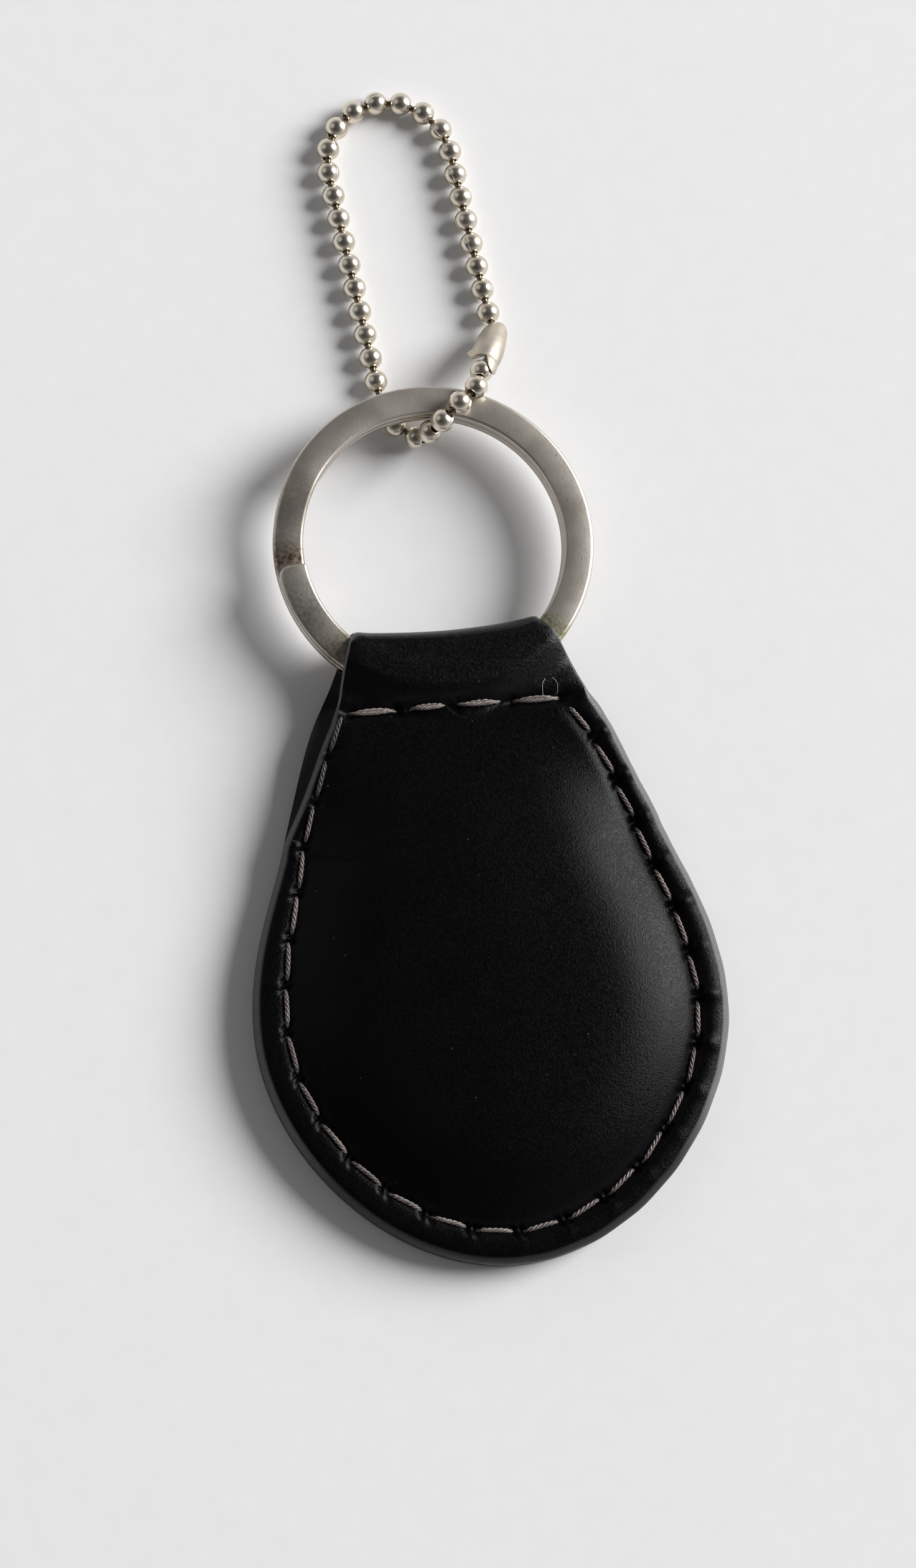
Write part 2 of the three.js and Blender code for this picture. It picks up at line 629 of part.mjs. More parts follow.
// Slides both strands along until the connector just reaches from the bight to the right strand.
function closedStrands() {
  const reach = pitch + CONNECTOR_SPAN;
  let low = -2 * pitch;
  let high = 2 * pitch;
  let made = strands(low);
  for (let round = 0; round < BISECTIONS; round++) {
    const middle = (low + high) / 2;
    made = strands(middle);
    const gap = made.bight[BIGHT_BEAD_COUNT - 1].distanceTo(made.upperEnd);
    if (gap > reach) high = middle;
    else low = middle;
  }
  return made;
}

function turnTo(geometry, direction) {
  return geometry.applyQuaternion(
    new THREE.Quaternion().setFromUnitVectors(new THREE.Vector3(0, 1, 0), direction),
  );
}

// Hollow ball with a hole below, on the +Y axis
function beadShell() {
  const inner = beadRadius - BEAD_WALL;
  const arc = (radius) => {
    const rim = Math.PI - Math.asin(holeRadius / radius);
    return Array.from({ length: BEAD_ROWS + 1 }, (_, k) => {
      const turn = (rim * k) / BEAD_ROWS;
      return new THREE.Vector2(radius * Math.sin(turn), radius * Math.cos(turn));
    });
  };
  return new THREE.LatheGeometry([...arc(inner), ...arc(beadRadius).reverse()], BEAD_SIDES);
}

// Pin from the wall of its bead to the head in the middle of the next one
function beadPin(length) {
  const radius = PIN_DIAMETER / 2;
  const root = beadRadius - PIN_SEAT;
  const profile = [
    [0, root],
    [radius, root],
    [radius, length - HEAD_HALF],
    [headRadius, length - HEAD_HALF / 2],
    [headRadius, length + HEAD_HALF / 2],
    [0, length + HEAD_HALF],
  ];
  return new THREE.LatheGeometry(profile.map(([r, y]) => new THREE.Vector2(r, y)), PIN_SIDES);
}

function holeCutter() {
  const cutter = new THREE.CylinderGeometry(holeRadius, holeRadius, beadRadius, BEAD_SIDES);
  return cutter.translate(0, -beadRadius, 0);
}

// A bead at a place, with a hole for each bead that pins into it and its own pin to the next bead
function bead(name, place, from, to, setback) {
  const ways = from.map((other) => place.clone().sub(other).normalize());
  const onward = to ? to.clone().sub(place) : null;
  if (!ways.length) ways.push(onward.clone().normalize());
  let body = solid(turnTo(beadShell(), ways[0]));
  for (const way of ways.slice(1)) body = body.subtract(solid(turnTo(holeCutter(), way)));
  if (onward) {
    const pin = beadPin(onward.length() - setback);
    body = body.add(solid(turnTo(pin, onward.normalize())));
  }
  const made = mesh(name, surface(body), brightNickel);
  made.position.copy(place);
  return made;
}

// Pod along +Y round the two end beads, cut open along its -X side, with slots for the pins
function connectorShell() {
  const inner = beadRadius + CONNECTOR_CLEARANCE;
  const outer = inner + CONNECTOR_WALL;
  const capsule = (radius) => {
    const profile = [];
    const half = CONNECTOR_SPAN / 2;
    for (let k = 0; k <= ROUND_STEPS; k++) {
      const turn = (Math.PI / 2) * (k / ROUND_STEPS);
      profile.push(new THREE.Vector2(radius * Math.sin(turn), -half - radius * Math.cos(turn)));
    }
    const upper = profile.map((point) => new THREE.Vector2(point.x, -point.y)).reverse();
    return solid(new THREE.LatheGeometry(profile.concat(upper), CONNECTOR_SIDES));
  };
  const reach = CONNECTOR_SPAN + 4 * outer;
  const mouth = new THREE.BoxGeometry(2 * outer, reach, 4 * outer);
  mouth.translate(-outer - CONNECTOR_MOUTH, 0, 0);
  const slot = new THREE.BoxGeometry(2 * outer, reach, CONNECTOR_SLOT);
  slot.translate(CONNECTOR_SLOT / 2 - outer, 0, 0);
  return capsule(outer).subtract(capsule(inner)).subtract(solid(mouth)).subtract(solid(slot));
}

function buildConnector(lower, upper) {
  const along = upper.clone().sub(lower).normalize();
  const flat = new THREE.Vector3(0, 0, 1);
  const mouthAway = along.clone().cross(flat).normalize();
  const depth = mouthAway.clone().cross(along);
  const turned = new THREE.Matrix4().makeBasis(mouthAway, along, depth);
  const pod = mesh("chain_connector", surface(connectorShell()).applyMatrix4(turned), brightNickel);
  pod.position.copy(lower).add(upper).multiplyScalar(0.5);
  return pod;
}

function buildChain() {
  const chain = new THREE.Group();
  const { left, right, arc, upperEnd, bight } = closedStrands();
  const lowerEnd = bight[BIGHT_BEAD_COUNT - 1].clone().lerp(upperEnd, pitch / (pitch + CONNECTOR_SPAN));
  const top = Math.floor(TOP_ARC_BEAD_COUNT / 2);
  const join = arc[top];

  // Pins point from the connector's two ends, one way round the ring and up the left strand, the other
  // up the right strand, and meet in the bead at the top.
  const leftRun = [lowerEnd, ...bight.slice().reverse(), ...left, ...arc.slice(0, top)];
  const rightRun = [upperEnd, ...right, ...arc.slice(top + 1).reverse()];
  let count = 0;
  const name = () => "chain_bead_" + String(++count).padStart(2, "0");
  for (const run of [leftRun, rightRun])
    run.forEach((place, k) => {
      const from = k > 0 ? [run[k - 1]] : [];
      const isLast = k === run.length - 1;
      const to = isLast ? join : run[k + 1];
      chain.add(bead(name(), place, from, to, isLast ? JOIN_SETBACK : HEAD_SETBACK));
    });
  chain.add(bead(name(), join, [leftRun[leftRun.length - 1], rightRun[rightRun.length - 1]], null, 0));
  chain.add(buildConnector(lowerEnd, upperEnd));
  return chain;
}

const fob = new THREE.Group();
fob.name = "leather_key_fob";
fob.add(buildBody(), buildLoop(), buildRing(), buildChain());

export default fob;
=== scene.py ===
# %% [markdown]
# # A leather key fob with its split ring and ball chain
# The fob is a padded teardrop of black leather. Its neck is folded over into a loop that holds a split
# ring, and a ball chain runs through the ring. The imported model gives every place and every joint, and
# this lesson dresses it: leather with ridged seams, twisted thread, worn nickel and bright beads.

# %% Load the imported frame
import json
import math

import bmesh
import bpy
import numpy as np
from mathutils import Matrix, Vector
from mathutils.kdtree import KDTree


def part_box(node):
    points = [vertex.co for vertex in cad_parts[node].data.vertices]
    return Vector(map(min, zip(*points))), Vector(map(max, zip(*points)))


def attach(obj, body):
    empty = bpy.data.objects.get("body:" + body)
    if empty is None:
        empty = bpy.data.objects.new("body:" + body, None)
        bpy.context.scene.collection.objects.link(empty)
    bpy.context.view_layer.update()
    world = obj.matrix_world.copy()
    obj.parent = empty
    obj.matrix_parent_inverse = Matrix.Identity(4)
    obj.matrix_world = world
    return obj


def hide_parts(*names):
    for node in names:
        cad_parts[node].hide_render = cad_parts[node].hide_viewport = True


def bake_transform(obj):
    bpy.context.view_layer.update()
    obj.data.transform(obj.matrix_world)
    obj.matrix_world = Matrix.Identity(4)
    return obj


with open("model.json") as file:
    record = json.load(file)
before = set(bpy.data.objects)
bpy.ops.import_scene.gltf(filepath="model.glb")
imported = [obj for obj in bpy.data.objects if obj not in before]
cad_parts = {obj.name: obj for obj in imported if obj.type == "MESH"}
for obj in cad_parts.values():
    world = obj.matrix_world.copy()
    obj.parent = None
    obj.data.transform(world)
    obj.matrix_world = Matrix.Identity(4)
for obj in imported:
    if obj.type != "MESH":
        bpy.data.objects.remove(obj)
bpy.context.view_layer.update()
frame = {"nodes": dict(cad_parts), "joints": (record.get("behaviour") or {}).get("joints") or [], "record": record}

MM = 0.001

# %% [markdown]
# ## Camera
# The fob is seen from above, a little from its lower left, with a long lens. The camera is set by its
# place and its three axes instead of a tracking constraint, because the photograph is also rolled.

# %% Camera at the photograph's viewing angle
CAMERA_PLACE = Vector((-57.169, -50.817, 389.359)) * MM
CAMERA_BACK = Vector((-0.1418, -0.1854, 0.9724)).normalized()
CAMERA_UP = Vector((0.1184, 0.9930, 0.0))
LENS = 92.571
SENSOR_HEIGHT = 36.0

camera_data = bpy.data.cameras.new("camera")
camera_data.sensor_fit = "VERTICAL"
camera_data.sensor_height = SENSOR_HEIGHT
camera_data.lens = LENS
camera = bpy.data.objects.new("camera", camera_data)
bpy.context.scene.collection.objects.link(camera)
across = CAMERA_UP.cross(CAMERA_BACK).normalized()
axes = Matrix((across, CAMERA_BACK.cross(across), CAMERA_BACK)).transposed()
camera.matrix_world = Matrix.Translation(CAMERA_PLACE) @ axes.to_4x4()
bpy.context.scene.camera = camera
print("camera", [round(c, 3) for c in camera.location], "lens", LENS)

# %% [markdown]
# ## Helpers for every finish and every mesh
# A material is a small tree of nodes, so one function adds a node with its settings and links. An input
# takes a value, a socket, a list of sockets, or a node, which stands for its first live output. Colours
# are written as they look on a screen, in sRGB hex, and Blender works in linear light, so one function
# converts them. A mesh is written in millimetres and stored in metres, at the origin.

# %% Helpers
def linear(hex_colour):
    parts = [int(hex_colour[k:k + 2], 16) / 255 for k in (1, 3, 5)]
    return [c / 12.92 if c <= 0.04045 else ((c + 0.055) / 1.055) ** 2.4 for c in parts] + [1.0]


def live_output(source):
    """A node stands for its first live output. Anything else stands for itself."""
    if isinstance(source, bpy.types.Node):
        return next(socket for socket in source.outputs if socket.enabled)
    return source


def add(tree, kind, inputs=None, **settings):
    node = tree.nodes.new(kind)
    for name, value in settings.items():
        setattr(node, name, value)
    for name, value in (inputs or {}).items():
        socket = next((s for s in node.inputs if s.name == name and s.enabled), None) or node.inputs[name]
        sources = [live_output(source) for source in (value if isinstance(value, list) else [value])]
        if isinstance(sources[0], bpy.types.NodeSocket):
            for source in sources:
                tree.links.new(source, socket)
        else:
            socket.default_value = value
    return node


def new_material(name):
    """An empty material, its tree, and the object coordinates that every pattern reads."""
    material = bpy.data.materials.new(name)
    material.use_nodes = True
    tree = material.node_tree
    tree.nodes.clear()
    return material, tree, add(tree, "ShaderNodeTexCoord").outputs["Object"]


def mesh_piece(name, points, faces, material):
    mesh = bpy.data.meshes.new(name)
    mesh.from_pydata((np.asarray(points) * MM).tolist(), [], faces)
    mesh.polygons.foreach_set("use_smooth", [True] * len(mesh.polygons))
    mesh.materials.append(material)
    piece = bpy.data.objects.new(name, mesh)
    bpy.context.scene.collection.objects.link(piece)
    return piece


def set_attribute(piece, name, values):
    layer = piece.data.attributes.new(name, "FLOAT", "POINT")
    layer.data.foreach_set("value", np.asarray(values, np.float32))


print("helpers ready")

# %% [markdown]
# ## Black full-grain leather
# The leather is dyed through and finished with a thin clear film, so it is nearly black and softly
# glossy, and its pebble grain breaks a highlight into specks. An image of leather would tile, so the
# grain is a Voronoi bump with cells of a fifth of a millimetre, and every cell has a gloss of its own.
# Three attributes of the piece say where the hide's edge paint shows grey, where its raw cut shows at the
# loop's mouth, and where handling has polished it. The grey edge carries painted light: lighter on the right
# and darker at the tip.

# %% Leather material
GRAIN_MM = 0.18  # a little coarser than the real grain, so that it shows in the render
PORE_MM = 0.1
MOTTLE_MM = 6.0
DUST_MM = 1.7


def leather_material():
    # Deep black that only shines where it turns to the light, with a sparkle from the pebbles
    material, tree, place = new_material("black_full_grain_leather_film_finished")
    grain = add(tree, "ShaderNodeTexVoronoi", {"Vector": place, "Scale": 1 / (GRAIN_MM * MM)})
    pores = add(tree, "ShaderNodeTexVoronoi", {"Vector": place, "Scale": 1 / (PORE_MM * MM)})
    mottle = add(tree, "ShaderNodeTexNoise", {"Vector": place, "Scale": 1 / (MOTTLE_MM * MM),
                                              "Detail": 4.0})
    dust = add(tree, "ShaderNodeTexVoronoi", {"Vector": place, "Scale": 1 / (DUST_MM * MM)})
    lit_edge_paint, raw, polish = (add(tree, "ShaderNodeAttribute", attribute_name=name).outputs["Fac"]
                            for name in ("painted_edge", "raw_cut", "polish"))

    # Dust specks: the small middles of a few Voronoi cells, which the cell's own random colour chooses
    middle = add(tree, "ShaderNodeMapRange", {"Value": dust.outputs["Distance"], "From Min": 0.07,
                                              "From Max": 0.035})
    chosen = add(tree, "ShaderNodeMapRange", {"Value": dust.outputs["Color"], "From Min": 0.55,
                                              "From Max": 0.8, "To Max": 0.4})
    speck = add(tree, "ShaderNodeMath", {0: middle, 1: chosen}, operation="MULTIPLY")
    colour = add(tree, "ShaderNodeMix", {"Factor": mottle, "A": linear("#040405"), "B": linear("#09090b")},
                 data_type="RGBA")
    # The edge paint's grey carries painted light: lighter on the right, darker at the shaded tip
    for amount, hex_colour in ((speck, "#5c5b59"), (lit_edge_paint, "#656565"), (raw, "#77767a")):
        colour = add(tree, "ShaderNodeMix", {"Factor": amount, "A": colour, "B": linear(hex_colour)},
                     data_type="RGBA")
    gloss = add(tree, "ShaderNodeMapRange", {"Value": grain.outputs["Color"], "From Min": 0.2,
                                             "From Max": 0.8, "To Min": 0.2, "To Max": 0.36})
    height = add(tree, "ShaderNodeMath", {0: grain, 1: pores}, operation="ADD")
    bump = add(tree, "ShaderNodeBump", {"Height": height, "Strength": 0.65, "Distance": 0.024 * MM})
    sheen = add(tree, "ShaderNodeMapRange", {"Value": polish, "To Min": 0.09, "To Max": 0.5})
    shader = add(tree, "ShaderNodeBsdfPrincipled", {"Base Color": colour, "Roughness": gloss,
                                                    "Specular IOR Level": sheen, "Normal": bump})
    add(tree, "ShaderNodeOutputMaterial", {"Surface": shader})
    return material


leather = leather_material()
print("made", leather.name)

# %% [markdown]
# ## The outline of the leather
# Front and back are one cut of leather, folded at the top and sewn together. Their edges run together
# round the body, and beside the neck's left side the back layer shows past the front one. A curve object
# could hold such an edge, but the rows of the cover need points at an even spacing, so each edge is a
# smooth closed line through a few given points, from the tip up the right side and down the left one.

# %% Points of the leather's edge
body_low, body_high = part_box("front_panel")
TIP_Y = body_low.y / MM
HALF_WIDTH = body_high.x / MM
TIP_ROUND = 12.4  # reach of the curve's handle along the tip
TIP_SIDE_RUN = 11.9  # and down the side from the widest place
SIDE_RUN = 8.0  # and up the side from there
SIDE_PULL = (19.9, 13.6)
SIDE_END = (18.5, 18.6)
TIP_POINTS = 16
SIDE_POINTS = 10
RIGHT_NECK = [(17.3, 21.4), (16.15, 24.3), (15.1, 27.0), (14.05, 29.1), (12.9, 30.9), (12.1, 32.6),
              (11.4, 34.3), (10.5, 36.1), (9.65, 37.7), (9.2, 38.6)]
FOLD_LINE = [(8.55, 38.95), (7.3, 38.78), (5.2, 38.52), (2.4, 38.36), (-0.5, 38.3), (-3.2, 38.38),
             (-5.8, 38.53), (-8.0, 38.72), (-9.4, 38.85)]
LEFT_NECK_FRONT = [(-10.05, 38.3), (-10.5, 36.9), (-11.0, 35.3), (-11.45, 33.5), (-11.9, 31.8),
                   (-12.7, 30.0), (-13.8, 27.9), (-15.0, 25.4), (-16.4, 22.5)]
LEFT_NECK_BACK = [(-10.15, 38.2), (-10.85, 36.7), (-11.6, 35.1), (-12.4, 33.5), (-13.3, 31.9),
                  (-14.2, 30.3), (-15.0, 28.6), (-15.9, 26.3), (-16.9, 23.4)]
print("body", round(2 * HALF_WIDTH, 2), "mm wide, tip at", round(TIP_Y, 2), "mm")

# %% Helpers for lines
SPREAD = 10  # points to each side over which the way inwards is averaged


def bezier(a, b, c, d, count):
    t = np.linspace(0, 1, count)[:, None]
    a, b, c, d = (np.array(p) for p in (a, b, c, d))
    return (1 - t) ** 3 * a + 3 * (1 - t) ** 2 * t * b + 3 * (1 - t) * t ** 2 * c + t ** 3 * d


def closed_line(points, fineness):
    """A smooth closed line through all the points."""
    p = np.asarray(points, float)
    t = np.linspace(0, 1, fineness, endpoint=False)[:, None, None]
    a, b, c, d = (np.roll(p, k, axis=0)[None] for k in (1, 0, -1, -2))
    line = b + t * (c - a) / 2 + t ** 2 * (a - 2.5 * b + 2 * c - d / 2)
    line = line + t ** 3 * (1.5 * (b - c) + (d - a) / 2)
    return line.transpose(1, 0, 2).reshape(-1, 2)


def run_along(line):
    return np.concatenate([[0], np.cumsum(np.linalg.norm(np.diff(line, axis=0), axis=1))])


def evenly(line, count):
    run = run_along(line)
    at = np.linspace(0, run[-1], count)
    return np.column_stack([np.interp(at, run, line[:, k]) for k in range(line.shape[1])])


def inward(edge, spread=SPREAD):
    """The way inwards at each point of a closed edge, averaged over its neighbours."""
    ahead = np.roll(edge, -1, axis=0) - np.roll(edge, 1, axis=0)
    normal = np.column_stack([-ahead[:, 1], ahead[:, 0]])
    normal /= np.linalg.norm(normal, axis=1)[:, None]
    total = sum(np.roll(normal, k, axis=0) for k in range(-spread, spread + 1))
    return total / np.linalg.norm(total, axis=1)[:, None]


print("line helpers ready")

# %% Edges of the front and back layer
FINENESS = 16  # points of the smooth line for each given one
COLUMNS = 400  # on each side, from the tip to the middle of the fold
FOLD_Y = 36.0  # the fold's edge lies above this height
FOLD_FACING = 0.9  # and looks up at least this much


def leather_edge(left_neck):
    tip = bezier((0, TIP_Y), (TIP_ROUND, TIP_Y), (HALF_WIDTH, -TIP_SIDE_RUN), (HALF_WIDTH, 0), TIP_POINTS)
    side = bezier((HALF_WIDTH, 0), (HALF_WIDTH, SIDE_RUN), SIDE_PULL, SIDE_END, SIDE_POINTS)
    right = np.vstack([tip, side[1:]])
    points = np.vstack([right, RIGHT_NECK, FOLD_LINE, left_neck, right[:0:-1] * [-1, 1]])
    line = closed_line(points, FINENESS)
    middle = (len(right) + len(RIGHT_NECK) + len(FOLD_LINE) // 2) * FINENESS
    going_up = evenly(line[:middle + 1], COLUMNS + 1)
    coming_down = evenly(np.vstack([line[middle:], line[:1]]), COLUMNS + 1)
    return np.vstack([going_up[:-1], coming_down[:-1]])


front_edge = leather_edge(LEFT_NECK_FRONT)
back_edge = leather_edge(LEFT_NECK_BACK)
smooth_normal = inward(front_edge)
fold_columns = (smooth_normal[:, 1] < -FOLD_FACING) & (front_edge[:, 1] > FOLD_Y)
print("leather edge of", len(front_edge), "columns,", fold_columns.sum(), "of them on the fold")

# %% [markdown]
# ## The perimeter seam
# A lockstitch runs round the body, about three millimetres inside the edge and closer near the neck. Its
# holes are cut aslant with an awl. The thread presses the leather down along each stitch, and the leather
# bulges between two stitches. So the seam is laid out before the leather gets its heights.

# %% Seam line and stitch places
SEAM_INSET_RIGHT = ([5, 16, 24, 30], [3.1, 2.7, 2.2, 2.5])  # heights on the body, and insets there
SEAM_INSET_LEFT = ([3, 12, 17, 24, 31], [3.1, 2.6, 2.1, 0.95, 0.75])
SEAM_TOP_RIGHT = 30.1
SEAM_TOP_LEFT = 30.9
SEAM_SPREAD = 6
SEAM_POINTS = 2400
STITCH_PITCH = 4.62
STITCH_SHARE = 0.82  # of the pitch, on top of the leather


def seam_line():
    inset = np.where(front_edge[:, 0] > 0, np.interp(front_edge[:, 1], *SEAM_INSET_RIGHT),
                     np.interp(front_edge[:, 1], *SEAM_INSET_LEFT))
    line = front_edge + inward(front_edge, SEAM_SPREAD) * inset[:, None]
    right, left = line[:COLUMNS], line[COLUMNS:]
    right = right[right[:, 1] < SEAM_TOP_RIGHT][::-1]
    left = left[left[:, 1] < SEAM_TOP_LEFT][::-1]
    return evenly(np.vstack([right, left]), SEAM_POINTS), inset


seam, seam_inset = seam_line()
seam_run = run_along(seam)
stitch_count = int(round(seam_run[-1] / STITCH_PITCH))
stitch_pitch = seam_run[-1] / stitch_count
stitch_starts = (np.arange(stitch_count) + (1 - STITCH_SHARE) / 2) * stitch_pitch
stitch_ends = np.column_stack([stitch_starts, stitch_starts + STITCH_SHARE * stitch_pitch])
print(stitch_count, "stitches of", round(stitch_pitch * STITCH_SHARE, 2), "mm on a seam of",
      round(float(seam_run[-1]), 1), "mm")

# %% Stitch holes
WAY_STEP = 0.2  # to each side, over which the seam's way is taken
SLIT_TURN = math.radians(60)  # from the seam's way, as an awl held aslant cuts
SLIT_LONG = 0.6
SLIT_WIDE = 0.27


def on_seam(run):
    return np.column_stack([np.interp(run, seam_run, seam[:, k]) for k in (0, 1)])


def seam_way(run):
    step = on_seam(run + WAY_STEP) - on_seam(run - WAY_STEP)
    return step / np.linalg.norm(step, axis=1)[:, None]


seam_holes = on_seam(stitch_ends.ravel())
hole_way = seam_way(stitch_ends.ravel())
slit_way = np.column_stack([hole_way @ [math.cos(SLIT_TURN), math.sin(SLIT_TURN)],
                            hole_way @ [-math.sin(SLIT_TURN), math.cos(SLIT_TURN)]])
print(len(seam_holes), "holes")

# %% [markdown]
# ## Heights of the leather
# The dome rises from the seam towards the middle, because of the pad inside. The neck climbs towards the
# split ring. This could be sculpted by hand or come from a displacement texture. Here formulas give the
# height at a place, from its distance to the edge, to the seam and to its nearest hole, which keeps every
# form where the CAD has it and lets each be changed by one number.

# %% Curves that the heights are made of
LEAN_WIDTH = 30.0  # over which a size goes from its value on the left to its value on the right
BLOCK = 2000  # points that are measured at once


def ease(t):
    t = np.clip(t, 0, 1)
    return t * t * (3 - 2 * t)


def swell(t):
    return np.sin(np.clip(t, 0, 1) * math.pi / 2)


def bell(distance, size):
    return np.exp(-(distance / size) ** 2)


def leaning(pair, x):
    """A size that goes from its value on the left to its value on the right."""
    return pair[0] + (pair[1] - pair[0]) * ease(x / LEAN_WIDTH + 0.5)


def nearest(points, line):
    """Distance from each point to a line of points, and the index of the nearest one."""
    gap = np.empty(len(points))
    index = np.empty(len(points), int)
    for start in range(0, len(points), BLOCK):
        block = slice(start, start + BLOCK)
        squares = ((points[block][:, None] - line[None]) ** 2).sum(2)
        index[block] = squares.argmin(1)
        gap[block] = np.sqrt(squares.min(1))
    return gap, index


print("curves ready")

# %% Rim, dome and crown of the body
neck = next(joint for joint in frame["joints"] if joint["name"] == "neck_flex")
NECK_Y = neck["pos_m"][1] / MM
NECK_LIFT = 1.3
NECK_LIFT_RUN = 14.0
NECK_RUN = 15.0  # over which the dome falls towards the neck
RIM_TOP = 3.5
DOME_RISE = 2.1
DOME_RUN = 8.0
DOME_GAP = 0.35  # from the seam to the foot of the dome
CROWN_RISE = 0.9
CROWN_RUN = 20.0


def lift(y):
    return NECK_LIFT * ease((y - NECK_Y + NECK_LIFT_RUN) / NECK_LIFT_RUN)


def body_height(y, seam_gap):
    inside = seam_gap - DOME_GAP
    dome = DOME_RISE * swell(inside / DOME_RUN) + CROWN_RISE * swell(inside / CROWN_RUN)
    return RIM_TOP + lift(y) + dome * ease((NECK_Y - y) / NECK_RUN)


print("neck at", round(NECK_Y, 2), "mm, dome up to", RIM_TOP + DOME_RISE + CROWN_RISE, "mm")

# %% [markdown]
# Along the seam the thread presses a valley into the leather, and the rim outside it is a soft roll. In
# every gap between two stitches the leather bulges, each time by an amount of its own, and less towards
# the tip. All of it is stronger on the right than on the left. A bump texture would give the shading, but
# the ridges show at the rim's outline too, so they are real heights.

# %% Relief along the seam
VALLEY_DEPTH = (0.14, 0.4)  # on the left and on the right
VALLEY_HALF = (0.45, 0.8)  # towards the rim and towards the dome
RIM_ROLL = (0.08, 0.34)  # on the left and on the right
RIM_FALL = (0.1, 0.42)
LEAST_RIM = 0.1
RIDGE_RISE = (0.1, 0.4)  # on the left and on the right
RIDGE_SHARES = (0.45, 1.3)  # least and most of that
RIDGE_SIZE = 0.72
RIDGE_REACH = 1.5
RIDGE_PLACE = 0.8  # outside the seam
RIDGE_AT_TIP = 0.3  # of its height
RIDGE_GROWS = -16.0  # from this height on the body
RIDGE_GROWS_RUN = 22.0
HOLE_DEPTH = 0.5
SEAM_END = 1.2  # past the neck
SEAM_FADE = 2.5
RIDGE_SEED = 7
random = np.random.default_rng(RIDGE_SEED)
seam_bulges = on_seam(np.arange(stitch_count + 1) * stitch_pitch)
bulge_size = random.uniform(*RIDGE_SHARES, len(seam_bulges))


def seam_relief(plan, inset, seam_gap):
    x, y = plan.T
    valley = leaning(VALLEY_DEPTH, x) * bell(seam_gap, np.where(seam_gap < 0, *VALLEY_HALF))
    rim_share = np.clip(inset / np.maximum(inset - seam_gap, LEAST_RIM), 0, 1)
    roll = leaning(RIM_ROLL, x) * np.sin(math.pi * rim_share) * (seam_gap < 0)
    fall = leaning(RIM_FALL, x) * (1 - rim_share)

    bulge_gap, bulge = nearest(plan, seam_bulges)
    along_gap = np.sqrt(np.maximum(bulge_gap ** 2 - np.minimum(seam_gap, 0) ** 2, 0))
    grown = RIDGE_AT_TIP + (1 - RIDGE_AT_TIP) * ease((y - RIDGE_GROWS) / RIDGE_GROWS_RUN)
    ridge = leaning(RIDGE_RISE, x) * grown * bulge_size[bulge]
    ridge = ridge * bell(along_gap, RIDGE_SIZE) * bell(seam_gap + RIDGE_PLACE, RIDGE_REACH)

    hole_gap, hole = nearest(plan, seam_holes)
    along_slit = ((plan - seam_holes[hole]) * slit_way[hole]).sum(1)
    across_slit = np.sqrt(np.maximum(hole_gap ** 2 - along_slit ** 2, 0))
    slit = HOLE_DEPTH * bell(along_slit, SLIT_LONG) * bell(across_slit, SLIT_WIDE)
    return (roll - fall - valley + ridge - slit) * ease((NECK_Y + SEAM_END - y) / SEAM_FADE)


print(len(seam_bulges), "ridges between stitches")

# %% [markdown]
# The loop is closed by a cross seam. Above it the leather climbs over the ring, the wire's inner edge is
# embossed in it, and it falls again to the fold, with a faint crease beside it. All this follows the
# distance to the ring's middle and to the fold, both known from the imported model.

# %% Ring and cross seam
ring_low, ring_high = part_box("split_ring")
ring_middle = np.array([(ring_low.x + ring_high.x) / 2, (ring_low.y + ring_high.y) / 2]) / MM
RING_OUTER = (ring_high.x - ring_low.x) / 2 / MM
WIRE_WIDTH = 3.0
RING_INNER = RING_OUTER - WIRE_WIDTH
CROSS_STITCHES = [(-10.9, -6.1), (-4.8, -1.2), (-0.1, 4.15), (5.2, 10.2)]
CROSS_SEAM_Y = (30.55, 30.3)  # at the left and right end of the cross seam
CROSS_REACH = 12.2  # to each side
CROSS_FADE = 1.5
CROSS_VALLEY = 0.4
CROSS_VALLEY_HALF = 0.7
CROSS_HOLE = 0.5


def cross_seam_y(x):
    return np.interp(x, [CROSS_STITCHES[0][0], CROSS_STITCHES[-1][1]], CROSS_SEAM_Y)


def cross_pull(plan, half):
    """How far a place lies in the cross seam's valley, which is this wide to each side."""
    x, y = plan.T
    return bell(y - cross_seam_y(x), half) * ease((CROSS_REACH - np.abs(x)) / CROSS_FADE)


cross_holes = np.array([(x, cross_seam_y(x)) for stitch in CROSS_STITCHES for x in stitch])
print("ring middle", ring_middle.round(2), "mm,", len(cross_holes), "holes in the cross seam")

# %% Relief of the loop
LOOP_RISE = 1.4
LOOP_REACH = 2.2  # outside the ring
LOOP_RISE_RUN = 3.4
LOOP_START = 0.8  # above the cross seam
LOOP_FADE = 1.5
EMBOSS_DEPTH = 0.16
EMBOSS_REACH = 0.6  # outside the wire's inner edge
EMBOSS_RUN = 1.9
FOLD_FALL = 0.45
FOLD_FALL_RUN = 2.6
CREASE_RISE = 0.07
CREASE_GAP = 1.9  # from the fold
CREASE_HALF = 0.4
CREASE_START = -3.0
CREASE_RUN = 6.0


